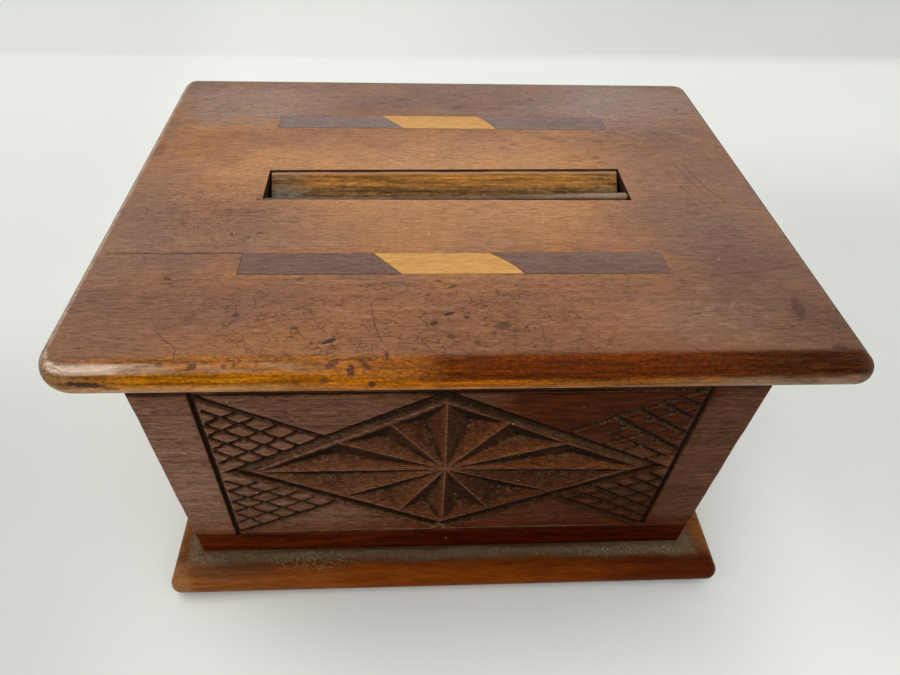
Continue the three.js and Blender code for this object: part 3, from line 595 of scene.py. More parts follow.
def base_finish(c):
    n = c["n"]
    col = c["col"]
    wn = n.noise(n.scaled(n.P, (0.05, 0.12, 0.12), (3, 3, 3)), 1.0, 3.0, 0.6)
    xr = n.math("MULTIPLY_ADD", n.math("SUBTRACT", wn, 0.5), 50.0, n.X)
    front = n.mix(n.ramp(xr, -80.0, -10.0), (0.230, 0.070, 0.014), (0.188, 0.036, 0.0004))
    front = n.mix(n.ramp(xr, 10.0, 80.0), front, (0.074, 0.0095, 0.0003))
    col = n.mix(n.math("MULTIPLY", n.ramp(n.Y, -60.0, -66.0), 0.95), col, n.vmath("MULTIPLY", front, n.mix(n.ramp(c["mids"], 0.35, 0.65), (0.82, 0.78, 0.7), (1.15, 1.2, 1.3))))
    # painted shade: a dark margin round the foot of the walls, with dust lying in it
    ax_ = n.math("SUBTRACT", n.math("ABSOLUTE", n.math("SUBTRACT", n.X, (FB_X0 + FB_X1) / 2)), (FB_X1 - FB_X0) / 2)
    ay_ = n.math("SUBTRACT", n.math("ABSOLUTE", n.Y), -FB_Y0)
    edge = n.math("MAXIMUM", ax_, ay_)
    edge = n.math("MULTIPLY_ADD", n.math("SUBTRACT", wn, 0.5), 5.0, edge)
    topm = n.ramp(n.Z, BASE_T - 1.2, BASE_T - 0.2)
    # inside the walls the board is bare and clean
    inner = n.math("MULTIPLY", topm, n.ramp(n.math("MAXIMUM", ax_, ay_), -0.8, -2.2))
    col = n.mix(n.math("MULTIPLY", inner, 0.8), col, n.vmath("MULTIPLY", c["col"], (1.25, 1.45, 1.75)))
    topm = n.math("MULTIPLY", topm, n.math("SUBTRACT", 1.0, inner))
    shade = n.math("MULTIPLY", n.ramp(edge, 7.5, 2.5), topm)
    col = n.mix(n.math("MULTIPLY", shade, 0.85), col, (0.062, 0.028, 0.012))
    smudge = n.spot(-70.0, -65.6, 11.0, 2.0, 0.0, 0.6, n.math("MULTIPLY", n.math("SUBTRACT", wn, 0.5), 2.0))
    col = n.mix(n.math("MULTIPLY", smudge, 0.50), col, (0.060, 0.030, 0.020))
    c["col"] = col
    dn = n.noise(n.scaled(n.P, (0.8, 0.8, 0.8), (1, 4, 2)), 1.0, 5.0, 0.7)
    curl = n.ramp(n.math("ABSOLUTE", n.math("SUBTRACT", n.noise(n.scaled(n.P, (0.55, 0.8, 0.8), (6, 1, 2)), 1.0, 2.0, 0.5), 0.5)), 0.016, 0.005)
    curl = n.math("MULTIPLY", n.math("MULTIPLY", curl, topm), n.math("MAXIMUM", n.spot(-44.0, -62.5, 12.0, 3.0, 0.0, 0.5), n.spot(60.0, -61.5, 16.0, 2.0, 0.0, 0.5)))
    dust = n.math("MULTIPLY", n.math("MULTIPLY", n.ramp(edge, 5.6, 2.6), topm), n.ramp(dn, 0.30, 0.62, 0.35, 1.0))
    fluff = n.ramp(n.voronoi(n.scaled(n.P, (0.75, 0.75, 0.75), (2, 2, 2)), 1.0, "F1"), 0.16, 0.08)
    nick = n.math("MULTIPLY", n.spot(-84.5, 6.0, 3.6, 3.6, 0.0, 0.5, n.math("MULTIPLY", n.math("SUBTRACT", dn, 0.5), 1.6), "XZ"), n.ramp(n.Y, -60.0, -66.0))
    # the last entry is a painted contact shadow, a dark line where the walls stand on the board
    c["over"] = [(n.math("MULTIPLY", dust, 0.72), (0.195, 0.138, 0.082)), (n.math("MULTIPLY", n.math("MULTIPLY", fluff, shade), 0.6), (0.44, 0.39, 0.30)), (n.math("MULTIPLY", curl, 0.75), (0.42, 0.38, 0.25)),
                 (n.math("MULTIPLY", nick, 0.35), (0.40, 0.22, 0.10)), (n.math("MULTIPLY", n.math("MULTIPLY", n.ramp(edge, 1.7, 0.4), topm), n.ramp(n.math("ABSOLUTE", n.X), 70.0, 30.0, 0.30, 0.80)), (0.045, 0.020, 0.010))]
    c["rough"] = n.math("MULTIPLY_ADD", dust, 0.4, c["rough"])
    c["height"] = n.math("MULTIPLY_ADD", n.math("MULTIPLY", dust, dn), 2.0, c["height"])


def chute_finish(c):
    n = c["n"]
    yy = n.math("MULTIPLY_ADD", n.X, -LEAN, n.Y)
    wn = n.noise(n.scaled(n.P, (0.06, 0.5, 0.5), (3, 3, 3)), 1.0, 3.0, 0.6)
    gr = n.noise(n.scaled(n.P, (0.5, 0.8, 0.8), (1, 4, 2)), 1.0, 4.0, 0.7)
    y2 = n.math("MULTIPLY_ADD", n.math("SUBTRACT", wn, 0.5), 2.4, yy)
    # darker lower down the chute and at its ends
    dark_lower_and_ends = n.ramp(y2, 4.9, 3.0)
    endx = n.math("MAXIMUM", n.ramp(n.X, -36.0, -47.0), n.ramp(n.X, 34.0, 46.0))
    dark_lower_and_ends = n.math("MAXIMUM", dark_lower_and_ends, n.math("MULTIPLY", endx, 0.75))
    col = n.mix(n.math("MULTIPLY", dark_lower_and_ends, 0.85), c["col"], n.mix(n.ramp(gr, 0.35, 0.65), (0.100, 0.046, 0.016), (0.200, 0.110, 0.045)))
    # painted shadow: near black deeper down the slot
    col = n.mix(n.math("MULTIPLY", n.ramp(yy, 3.0, -2.0), 0.8), col, (0.03, 0.018, 0.010))
    streak = n.ramp(n.noise(n.scaled(n.P, (0.035, 1.3, 1.3), (4, 4, 7)), 1.0, 4.0, 0.6), 0.36, 0.64, 0.62, 1.25)
    col = n.vmath("MULTIPLY", col, n.combine(streak, streak, streak))
    c["col"] = n.mix(n.math("MULTIPLY", n.math("MULTIPLY", n.ramp(n.X, -34.0, -46.0), n.ramp(yy, 5.0, 6.5)), 0.8), col, (0.20, 0.105, 0.065))
    dust = n.math("MULTIPLY", n.ramp(n.X, -37.0, -47.0), n.ramp(yy, 5.2, 2.6))
    dust = n.math("MAXIMUM", dust, n.math("MULTIPLY", n.math("MULTIPLY", n.ramp(n.X, 34.0, 47.0), n.ramp(yy, 3.8, 1.6)), 0.6))
    dust = n.math("MULTIPLY", dust, n.ramp(gr, 0.30, 0.66, 0.25, 1.0))
    # painted highlight along the rounded top lip, and a painted shadow line in the gap at its back edge
    lip = n.math("MULTIPLY", n.ramp(yy, 6.65, 6.95), n.ramp(yy, 7.5, 7.3))
    c["over"] = [(n.math("MULTIPLY", dust, 0.74), (0.200, 0.205, 0.185)), (n.math("MULTIPLY", lip, 0.7), (0.46, 0.24, 0.12)), (n.ramp(yy, 7.42, 7.56), (0.03, 0.015, 0.012))]
    c["rough"] = n.math("MULTIPLY_ADD", dark_lower_and_ends, 0.25, c["rough"])


def lath_finish(c):
    n = c["n"]
    g = n.noise(n.scaled(n.P, (0.5, 1.2, 1.2), (5, 5, 5)), 1.0, 3.0, 0.6)
    # painted shade darkening the lath below the lid's top, and a painted highlight on its proud right part
    dn = n.math("MULTIPLY", n.ramp(n.Z, 109.3, 108.4), 0.9)
    hl = n.math("MULTIPLY", n.ramp(n.X, 5.0, 46.0), n.ramp(g, 0.42, 0.62, 0.2, 0.8))
    c["over"] = [(hl, (0.44, 0.30, 0.20)), (n.math("MULTIPLY", n.ramp(g, 0.52, 0.62), 0.5), (0.09, 0.045, 0.027)), (dn, (0.02, 0.010, 0.008))]


LID_RINGS = (-52.0, 92.0, 1.15, 0.10)
def inlay_finish(c):
    n = c["n"]
    # painted reflection: the inlays are darker at the front and paler and greyer towards the back
    c["col"] = n.vmath("MULTIPLY", c["col"], n.mix(n.ramp(n.Y, -20.0, 25.0), (0.76, 0.75, 0.74), (1.00, 1.16, 1.34)))


M_LID = wood("lid_wood", (0.190, 0.085, 0.044), (0.300, 0.140, 0.072), (0.385, 0.190, 0.098), pore=0.42, rough=(0.30, 0.44), bump=0.07, seed=1.0, streak=0.9,
             fibre=0.6, spec=0.035, rings=LID_RINGS, finish=lid_finish)
M_BASE = wood("base_wood", (0.110, 0.036, 0.010), (0.190, 0.066, 0.018), (0.270, 0.105, 0.030), pore=0.5, rough=(0.26, 0.40), bump=0.06, seed=2.0, fibre=0.5,
              spec=0.025, rings=(20.0, -30.0, 1.6, 0.10), finish=base_finish)
M_CARCASS = wood("carcass_wood", (0.110, 0.048, 0.028), (0.180, 0.080, 0.048), (0.245, 0.115, 0.072), pore=0.70, rough=(0.30, 0.45), bump=0.07, seed=3.0, fibre=1.0,
                 spec=0.04, rings=(-20.0, 20.0, 1.7, 0.12))
M_CARCASS_Y = wood("carcass_wood_sides", (0.110, 0.048, 0.028), (0.180, 0.080, 0.048), (0.245, 0.115, 0.072), grain="Y", pore=0.70, rough=(0.30, 0.45), bump=0.07,
                   seed=4.0, fibre=1.0, spec=0.04, rings=(-20.0, 20.0, 1.9, 0.12))
M_DARK = wood("dark_inlay", (0.170, 0.096, 0.078), (0.225, 0.128, 0.102), (0.275, 0.165, 0.134), pore=0.50, rough=(0.30, 0.44), bump=0.05, seed=5.0, streak=0.7, fibre=0.7, spec=0.09, finish=inlay_finish)
M_LIGHT = wood("light_inlay", (0.480, 0.225, 0.064), (0.590, 0.300, 0.098), (0.690, 0.385, 0.150), pore=0.20, rough=(0.30, 0.44), bump=0.05, seed=6.0, streak=0.6, fibre=0.45, spec=0.09)
M_CHUTE = wood("chute_wood", (0.210, 0.080, 0.016), (0.400, 0.165, 0.034), (0.520, 0.240, 0.060), pore=0.60, rough=(0.36, 0.55), bump=0.09, seed=7.0, fibre=1.1, spec=0.06, finish=chute_finish)
M_LATH = wood("lath_wood", (0.105, 0.055, 0.033), (0.175, 0.100, 0.064), (0.270, 0.165, 0.110), pore=0.6, rough=(0.4, 0.6), bump=0.06, seed=8.0, fibre=0.9, spec=0.1, finish=lath_finish)
M_CHEEK = wood("cheek_wood", (0.06, 0.035, 0.02), (0.09, 0.052, 0.03), (0.12, 0.07, 0.04), pore=0.5, rough=(0.5, 0.7), bump=0.06, seed=8.5, fibre=0.4, spec=0.2)
M_BLOCK = wood("block_wood", (0.30, 0.17, 0.08), (0.42, 0.26, 0.13), (0.52, 0.35, 0.19), grain="Z", pore=0.3, rough=(0.6, 0.8), bump=0.1, seed=9.0, fibre=0.4, spec=0.2)


def brass():
    n = Nodes("screw_brass")
    a = n.noise(n.P, 0.9, 4.0, 0.6)
    b = n.noise(n.P, 6.0, 2.0, 0.5)
    col = n.mix(n.ramp(a, 0.35, 0.65), (0.16, 0.10, 0.035), (0.46, 0.31, 0.11))
    n._put(n.bsdf.inputs["Base Color"], col)
    n.bsdf.inputs["Metallic"].default_value = 1.0
    n._put(n.bsdf.inputs["Roughness"], n.ramp(a, 0.3, 0.7, 0.55, 0.3))
    n._put(n.bsdf.inputs["Normal"], n.bump(b, 0.02))
    return n.mat


M_BRASS = brass()

# -------------------------------------------------------------------- lid
slot_cut = prism([(SLOT[0], SLOT[2]), (SLOT[1], SLOT[2]), (SLOT[1], SLOT[4]), (SLOT[0], SLOT[3])], LID_BOT - 2, LID_TOP + 2)
relief_cut = box_mesh(SLOT[0] + 2, SLOT[1] - 2, -17.0, SLOT[2] + 1, LID_BOT - 2, LID_BOT + 4.5)
bands = [box_mesh(b["x0"], b["x1"], b["y0"], b["y1"], LID_TOP - 1.25, LID_TOP + 1) for b in (FRONT_BAND, BACK_BAND)]
v, f = rounded_board(LID_W, LID_D, LID_T, LID_CORNERS, z0=LID_BOT)
lid = new_object("lid", v, f, "box")
recalc(lid)
cut(lid, [slot_cut, relief_cut] + bands)
soften(lid, 0.14, 2)
set_material(lid, M_LID)
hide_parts("lid_board")
for s in ("front", "back"):
    cad_material(f"inlay_{s}_left", M_DARK)
    cad_material(f"inlay_{s}_right", M_DARK)
    cad_material(f"inlay_{s}_light", M_LIGHT)


# ------------------------------------------------------------- coin chute
def catmull(points, steps):
    out = []
    for i in range(len(points) - 1):
        p0, p1, p2, p3 = (np.array(points[max(0, min(len(points) - 1, k))], float) for k in (i - 1, i, i + 1, i + 2))
        for j in range(steps):
            t = j / steps
            out.append(tuple(0.5 * (2 * p1 + (p2 - p0) * t + (2 * p0 - 5 * p1 + 4 * p2 - p3) * t * t + (3 * p1 - p0 - 3 * p2 + p3) * t ** 3)))
    out.append(tuple(points[-1]))
    return out


def chute_board():
    y1 = SLOT[3] - 0.14
    t = LID_TOP
    lip = [(y1, t - 1.2), (y1 - 0.05, t - 0.6), (y1 - 0.20, t - 0.30), (y1 - 0.50, t - 0.18), (y1 - 0.95, t - 0.32), (y1 - 1.6, t - 0.72)]
    face = [(y1 - 1.6, t - 0.72), (2.7, t - 3.35), (-0.5, t - 6.4), (-4.4, t - 11.2), (-12, t - 21.3)]
    prof = catmull(lip, 4)[:-1] + catmull(face, 10) + [(-11.6, t - 21.7), (-9.2, t - 23.4), (-8.8, t - 23.7), (-1.2, t - 13.7), (2.7, t - 9.1), (y1, t - 5.6)]
    rng = np.random.default_rng(7)
    ph = rng.uniform(0, 6.28, 4)
    x0, x1 = SLOT[0] + 0.5, SLOT[1] - 0.5
    sections = []
    for x in [x0, x0 + 0.08] + list(np.linspace(x0 + 0.25, x1 - 0.25, 90)) + [x1 - 0.08, x1]:
        e = min(x - x0, x1 - x)
        drop = 0.22 * max(0.0, 1 - e / 0.25) ** 2
        w = 0.05 * math.sin(x * 0.21 + ph[0]) + 0.03 * math.sin(x * 0.63 + ph[1])
        sections.append([(x, y + LEAN * (x - SLOT[0]) - drop * 0.2, z + w * (1 if z > t - 8 else 0) - drop) for y, z in prof])
    v, f = swept(sections)
    ob = new_object("chute_slope", v, f, "box")
    recalc(ob)
    w = ob.modifiers.new("weighted", "WEIGHTED_NORMAL")
    w.weight = 60
    return ob


chute = chute_board()
set_material(chute, M_CHUTE)
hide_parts("chute_board")


def bead_lath():
    x0, x1, z0 = SLOT[0] + 0.5, SLOT[1] - 0.5, LID_BOT + 4.5
    rng = np.random.default_rng(11)
    ph = rng.uniform(0, 6.28, 4)
    xs = [x0, x0 + 0.1, x0 + 0.3] + list(np.linspace(x0 + 0.7, x1 - 1.3, 80)) + [x1 - 0.9, x1 - 0.55, x1 - 0.3, x1 - 0.12, x1]
    sections = []
    for x in xs:
        u = (x - x0) / (x1 - x0)
        fr = -7.25 + 1.0 * u
        bk = np.interp(x, [x0, 0, x1], [-6.3, -5.45, -3.9])
        top = np.interp(x, [x0, 10, x1 - 6, x1], [LID_TOP - 0.2, LID_TOP + 0.02, LID_TOP + 0.46, LID_TOP + 0.49])
        wv = 0.05 * math.sin(x * 0.37 + ph[0]) + 0.04 * math.sin(x * 0.9 + ph[1])
        fr, bk, top = fr + wv, bk + wv * 0.6, top - abs(wv) * 0.4
        e = max(0.0, 1 - (x1 - x) / 1.0) if x > x1 - 1 else 0.0
        k = math.sqrt(max(0.0, 1 - e * e))
        mid = (fr + bk) / 2 + 0.3 * e
        half = (bk - fr) / 2 * (0.35 + 0.65 * k)
        top = top - 0.9 * (1 - k)
        hr = min(0.75, half)
        ring = [(x, mid - half, z0), (x, mid - half, (z0 + top) / 2)]
        for j in range(13):
            a = math.pi * j / 12
            ring.append((x, mid - half * math.cos(a) ** 1.0, top - hr + hr * math.sin(a) ** 0.8))
        ring += [(x, mid + half, (z0 + top) / 2), (x, mid + half, z0)]
        sections.append(ring)
    v, f = swept(sections)
    ob = new_object("slot_lath", v, f, "box")
    recalc(ob)
    w = ob.modifiers.new("weighted", "WEIGHTED_NORMAL")
    w.weight = 60
    return ob


lath = bead_lath()
set_material(lath, M_LATH)
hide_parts("slot_front_lath")

# ------------------------------------------------------------------- base
BODY_X = (FB_X0 + FB_X1) / 2
SCREWS = [(sx * 59.25 + BODY_X, sy * (117.25 / 2 - 4.5)) for sx in (-1, 1) for sy in (-1, 1)]
v, f = rounded_board(BASE_W, BASE_D, BASE_T, BASE_CORNERS, cx=BASE_X)
base = new_object("base", v, f, "base")
recalc(base)
holes = [lathe_mesh([(0, -1), (3.9, -1), (3.9, 0.8), (2.0, 2.7), (2.0, BASE_T + 1), (0, BASE_T + 1)], 40, x, y) for x, y in SCREWS]
cut(base, holes)
soften(base, 0.15, 2)
set_material(base, M_BASE)
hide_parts("base_board")

# ----------------------------------------------------- carved front board
OUTER = np.array([(-2.9, 89.0), (-64.0, 54.8), (-3.0, 20.4), (62.6, 53.6)])
CENTRE = np.array((-2.1, 54.5))
TIPS = np.array([(-54.0, 54.8), (-32.7, 40.9), (-15.5, 32.3), (-2.1, 25.6), (11.5, 33.3), (29.0, 42.2),
                 (55.8, 52.9), (30.4, 65.8), (13.8, 75.4), (-2.6, 83.6), (-16.6, 75.2), (-30.6, 67.6)])
GROOVES = [  # start, end, width, depth
    # upper left
    ((-63.4, 86.9), (-34.9, 70.6), 1.7, 0.95), ((-62.8, 81.8), (-40.9, 66.5), 1.35, 0.8), ((-63.3, 75.9), (-45.4, 63.9), 1.35, 0.8),
    ((-63.7, 70.8), (-50.1, 61.2), 1.35, 0.8), ((-63.5, 64.7), (-54.6, 58.2), 1.3, 0.7),
    ((-62.9, 76.9), (-54.4, 81.1), 1.1, 0.7), ((-63.1, 71.9), (-49.7, 79.1), 1.1, 0.65), ((-63.2, 66.0), (-44.7, 76.0), 1.1, 0.65), ((-63.3, 59.0), (-40.4, 73.1), 1.1, 0.65),
    # lower left
    ((-65.2, 21.2), (-33.9, 38.2), 1.5, 0.8), ((-64.3, 27.4), (-38.8, 41.8), 1.0, 0.55), ((-64.0, 33.6), (-44.1, 44.0), 1.1, 0.6),
    ((-63.9, 39.1), (-48.2, 47.0), 1.1, 0.6), ((-63.7, 45.0), (-55.2, 49.5), 1.1, 0.6),
    ((-63.5, 50.2), (-38.1, 35.4), 1.2, 0.7), ((-63.2, 44.4), (-45.6, 32.6), 1.2, 0.7), ((-63.0, 38.4), (-50.0, 29.4), 1.2, 0.7), ((-63.4, 32.1), (-57.4, 26.2), 1.1, 0.6),
    # upper right
    ((62.7, 88.0), (31.0, 71.4), 1.6, 0.95), ((62.1, 81.4), (40.9, 70.6), 1.1, 0.7), ((62.7, 75.5), (40.1, 65.0), 1.1, 0.7),
    ((62.4, 69.2), (47.2, 62.5), 1.1, 0.7), ((62.9, 60.9), (52.9, 57.6), 1.0, 0.6),
    ((40.6, 77.6), (62.8, 61.2), 1.7, 0.8), ((46.4, 80.2), (62.8, 69.0), 1.5, 0.8), ((52.1, 82.8), (62.8, 75.4), 1.4, 0.75), ((55.7, 85.0), (62.4, 81.1), 1.2, 0.7), ((40.0, 71.3), (60.0, 58.6), 1.0, 0.5),
    # lower right
    ((29.5, 40.3), (61.6, 21.4), 1.5, 0.8), ((35.4, 42.8), (62.5, 25.6), 1.0, 0.55), ((40.6, 45.4), (62.8, 30.4), 1.0, 0.55), ((46.9, 46.8), (62.8, 35.8), 1.0, 0.55),
    ((52.3, 48.8), (63.0, 41.4), 1.1, 0.55), ((56.2, 51.4), (63.2, 46.4), 1.0, 0.5),
    ((62.9, 48.0), (34.8, 37.2), 1.1, 0.7), ((62.8, 42.4), (42.2, 33.4), 1.1, 0.7), ((62.8, 36.6), (48.2, 29.6), 1.1, 0.7), ((62.6, 30.4), (54.6, 26.0), 1.0, 0.6),
]


def seg_dist(X, Z, p, q):
    p, q = np.array(p, float), np.array(q, float)
    d = q - p
    L = np.hypot(*d)
    ux, uz = d / L
    t = (X - p[0]) * ux + (Z - p[1]) * uz
    s = -(X - p[0]) * uz + (Z - p[1]) * ux
    over = np.maximum(0, np.maximum(-t, t - L))
    return s, over, t / L


def value_noise(X, Z, cell, seed, ax=1.0):
    """Smooth seeded noise in -1..1 on the face, cell in mm."""
    rng = np.random.default_rng(seed)
    g = rng.uniform(-1, 1, (400, 400))
    u, w = X / (cell * ax) + 150.3, Z / cell + 20.7
    i, j = np.floor(u).astype(int), np.floor(w).astype(int)
    fu, fw = u - i, w - j
    fu, fw = fu * fu * (3 - 2 * fu), fw * fw * (3 - 2 * fw)
    i, j = i % 399, j % 399
    return (g[i, j] * (1 - fu) * (1 - fw) + g[i + 1, j] * fu * (1 - fw) + g[i, j + 1] * (1 - fu) * fw + g[i + 1, j + 1] * fu * fw)


def carve(X, Z):
    """Depth below the face in mm, the distance inside the diamond and a mask of its ridges."""
    wob = 0.10 * value_noise(X, Z, 3.0, 1) + 0.05 * value_noise(X, Z, 1.1, 2)
    D = np.zeros_like(X)
    # the diamond's frame: a groove steep on its outside, rising gently to an inner ridge
    ins = np.full_like(X, 1e9)
    for k in range(4):
        p, q = OUTER[k], OUTER[(k + 1) % 4]
        d = (q - p) / np.hypot(*(q - p))
        ins = np.minimum(ins, -(-(X - p[0]) * d[1] + (Z - p[1]) * d[0]) * -1.0)
    ins = ins + wob * 0.7
    FW, FD = 4.2, 1.9
    t = ins / FW
    prof = np.where(t < 0, 0, np.where(t < 0.30, FD * np.sin(np.clip(t / 0.30, 0, 1) * np.pi / 2), np.where(t < 1.0, FD + (0.28 - FD) * np.clip((t - 0.30) / 0.70, 0, 1) ** 0.9, 0.28)))
    D = np.maximum(D, prof)
    inner = t > 1.0
    # chips of the star
    chips = np.zeros_like(X)
    ridge = np.clip(1.4 - np.abs(ins - FW - 0.05) / 0.28, 0, 1) * (ins > 0)
    for k in range(12):
        tri = np.array([CENTRE, TIPS[k], TIPS[(k + 1) % 12]])
        area = (tri[1] - tri[0])[0] * (tri[2] - tri[0])[1] - (tri[2] - tri[0])[0] * (tri[1] - tri[0])[1]
        if area < 0:
            tri = tri[[0, 2, 1]]
        apex = 0.22 * tri[0] + 0.39 * (tri[1] + tri[2])
        size = math.sqrt(abs(area))
        depth = 2.05 + 0.028 * size
        m = None
        for e in range(3):
            p, q = tri[e], tri[(e + 1) % 3]
            d = (q - p) / np.hypot(*(q - p))
            dist = -(X - p[0]) * d[1] + (Z - p[1]) * d[0]
            da = -(apex[0] - p[0]) * d[1] + (apex[1] - p[1]) * d[0]
            lip = 0.15 if e != 1 else 0.08
            v = (dist - lip + wob * 0.5) / (da - lip)
            m = v if m is None else np.minimum(m, v)
            on = np.clip(1.5 - np.abs(dist + wob * 0.5) / 0.26, 0, 1) if e != 1 else 0 * dist
            t_ = ((X - p[0]) * d[0] + (Z - p[1]) * d[1]) / np.hypot(*(q - p))
            ridge = np.maximum(ridge, on * (t_ > 0.0) * (t_ < 1.0))
        m = np.clip(m, 0, None)
        chips = np.maximum(chips, depth * np.where(m > 0, m ** 0.86, 0))
    D = np.maximum(D, np.where(inner, 0.28 + chips, 0))
    # borders: steep outside, gentle inside
    for p, q, side in (((-64.9, 88.6), (-66.3, 19.2), 1), ((63.6, 88.4), (63.1, 20.8), -1)):
        s, over, _ = seg_dist(X, Z, p, q)
        u = s * side + 0.5 + wob * 0.6
        w = 2.1
        g = np.where(u < 0, 0, np.where(u < 0.55, 1.15 * u / 0.55, np.clip(1.15 * (1 - (u - 0.55) / (w - 0.55)), 0, None)))
        D = np.maximum(D, np.clip(g - over * 1.5, 0, None))
    # hatching
    H = np.zeros_like(X)
    for k, (p, q, w, dp) in enumerate(GROOVES):
        s, over, tt = seg_dist(X, Z, p, q)
        bow = 0.12 * math.sin(k * 2.1) * np.sin(np.clip(tt, 0, 1) * np.pi)
        a = np.abs(s + bow + wob * 0.8)
        ww = w * (0.92 + 0.12 * value_noise(X, Z, 5.0, 30 + k % 7))
        g = dp * 1.45 * np.clip(1 - a / (ww * 0.82), 0, 1) ** 0.72
        fade = np.clip(1 - over / 0.7, 0, 1)
        D = np.maximum(D, np.where(ins < 0.4, g * fade, 0))
        H = np.maximum(H, np.clip(1 - (a - ww / 2) / 2.0, 0, 1) * fade * (ins < 0.3))
    # the top border: steep above, easing out below
    s, over, tt = seg_dist(X, Z, (-63.4, 88.75), (61.8, 88.55))
    u = -s + wob * 0.5
    g = np.where(u < 0, 0, np.where(u < 0.45, 1.0 * u / 0.45, np.clip(1.0 * (1 - (u - 0.45) / 1.1), 0, None)))
    D = np.maximum(D, np.clip(g - over * 1.5, 0, None))
    # scribed lines above and below
    for p, q in (((-65.8, 20.6), (62.6, 20.3)), ((-64.6, 90.2), (63.2, 90.2))):
        s, over, tt = seg_dist(X, Z, p, q)
        g = 0.55 * np.clip(1 - np.abs(s + 0.12 * value_noise(X, Z, 9.0, 50) + wob * 0.5) / 0.6, 0, 1) ** 0.8
        D = np.maximum(D, g * np.clip(1 - over, 0, 1))
    # knife marks in the cuts
    D = D + np.where(D > 0.25, 0.07 * value_noise(X, Z, 0.9, 90) + 0.05 * value_noise(X, Z, 0.55, 91, 2.0), 0)
    # an uneven, hand-planed face
    D = D + 0.05 * (1 + value_noise(X, Z, 14.0, 60, 2.5)) * 0.5
    # eased edges of the board
    ex = np.minimum(X - FB_X0, FB_X1 - X)
    wear = 0.55 + 0.25 * value_noise(X, Z, 7.0, 70)
    D = D + np.where(ex < wear, wear - np.sqrt(np.clip(wear ** 2 - (wear - ex) ** 2, 0, None)), 0)
    return D, ins, ridge, H


def front_board():
    fine = 0.25
    xs = np.unique(np.round(np.concatenate([[FB_X0, FB_X0 + 0.06, FB_X0 + 0.15, FB_X0 + 0.3, FB_X0 + 0.5, FB_X0 + 0.8], np.arange(FB_X0 + 1.2, -68, 1.1), np.arange(-68, 66, fine), np.arange(66, FB_X1 - 1.2, 1.1),
                                             [FB_X1 - 0.8, FB_X1 - 0.5, FB_X1 - 0.3, FB_X1 - 0.15, FB_X1 - 0.06, FB_X1]]), 4))
    zs = np.unique(np.round(np.concatenate([[FB_Z0, FB_Z0 + 0.2, FB_Z0 + 0.6], np.arange(FB_Z0 + 1.5, 18, 1.1), np.arange(18, 91.5, fine), np.arange(91.5, FB_Z1 - 0.6, 1.1), [FB_Z1 - 0.2, FB_Z1]]), 4))
    X, Z = np.meshgrid(xs, zs, indexing="ij")
    D, ins, ridge, hatch = carve(X, Z)
    nx, nz = len(xs), len(zs)
    # cavity: how far a point lies below its surroundings
    pad = np.pad(D, 8, mode="edge")
    blur = sum(pad[8 + i: 8 + i + nx, 8 + j: 8 + j + nz] for i in range(-6, 7, 3) for j in range(-6, 7, 3)) / 25.0
    cav = D - blur
    # slopes of the cut, smoothed a little: rise > 0 faces up, turn > 0 faces right
    near = sum(pad[8 + i: 8 + i + nx, 8 + j: 8 + j + nz] for i in (-1, 0, 1) for j in (-1, 0, 1)) / 9.0
    turn, rise = np.gradient(near, xs, zs)
    # how much of the light from above is cut off by the wood above a point
    shade = np.zeros_like(D)
    for back in (0.4, 0.8, 1.3, 1.9, 2.6, 3.5):
        for lean in (-0.35, 0.0, 0.35):
            j = np.clip(np.searchsorted(zs, zs + back), 0, nz - 1)
            i = np.clip(np.searchsorted(xs, xs - lean * back), 0, nx - 1)
            shade = shade + np.clip((D - D[np.ix_(i, j)]) / back - 0.18, 0, 0.9) / 18
    shade = np.clip(shade * 3.4, 0, 1)
    verts = np.stack([X.ravel(), (FB_Y0 + D).ravel(), Z.ravel()], 1)
    idx = np.arange(nx * nz).reshape(nx, nz)
    quads = np.stack([idx[:-1, :-1].ravel(), idx[1:, :-1].ravel(), idx[1:, 1:].ravel(), idx[:-1, 1:].ravel()], 1)
    loop = np.concatenate([idx[:, 0], idx[-1, 1:], idx[-2::-1, -1], idx[0, -2:0:-1]])
    back = verts[loop].copy()
    back[:, 1] = FB_Y1
    nb = len(verts)
    verts = np.vstack([verts, back])
    m = len(loop)
    k = np.arange(m)
    sides = np.stack([loop[(k + 1) % m], loop[k], nb + k, nb + (k + 1) % m], 1)
    faces = [tuple(q) for q in quads] + [tuple(q) for q in sides] + [tuple(nb + k)]
    ob = new_object("carved_front", verts, faces, "box")
    me = ob.data
    smooth = np.zeros(len(me.polygons), bool)
    smooth[: len(quads)] = True
    me.polygons.foreach_set("use_smooth", smooth)
    for name, arr in (("depth", D), ("cavity", cav), ("inside", ins), ("rise", np.clip(rise, -1.5, 1.5)), ("turn", np.clip(turn, -1.5, 1.5)), ("ridge", ridge), ("shade", shade), ("hatch", hatch)):
        a = me.attributes.new(name, "FLOAT", "POINT")
        full = np.zeros(len(verts), np.float32)
        full[: nx * nz] = arr.ravel()
        a.data.foreach_set("value", full)
    return ob


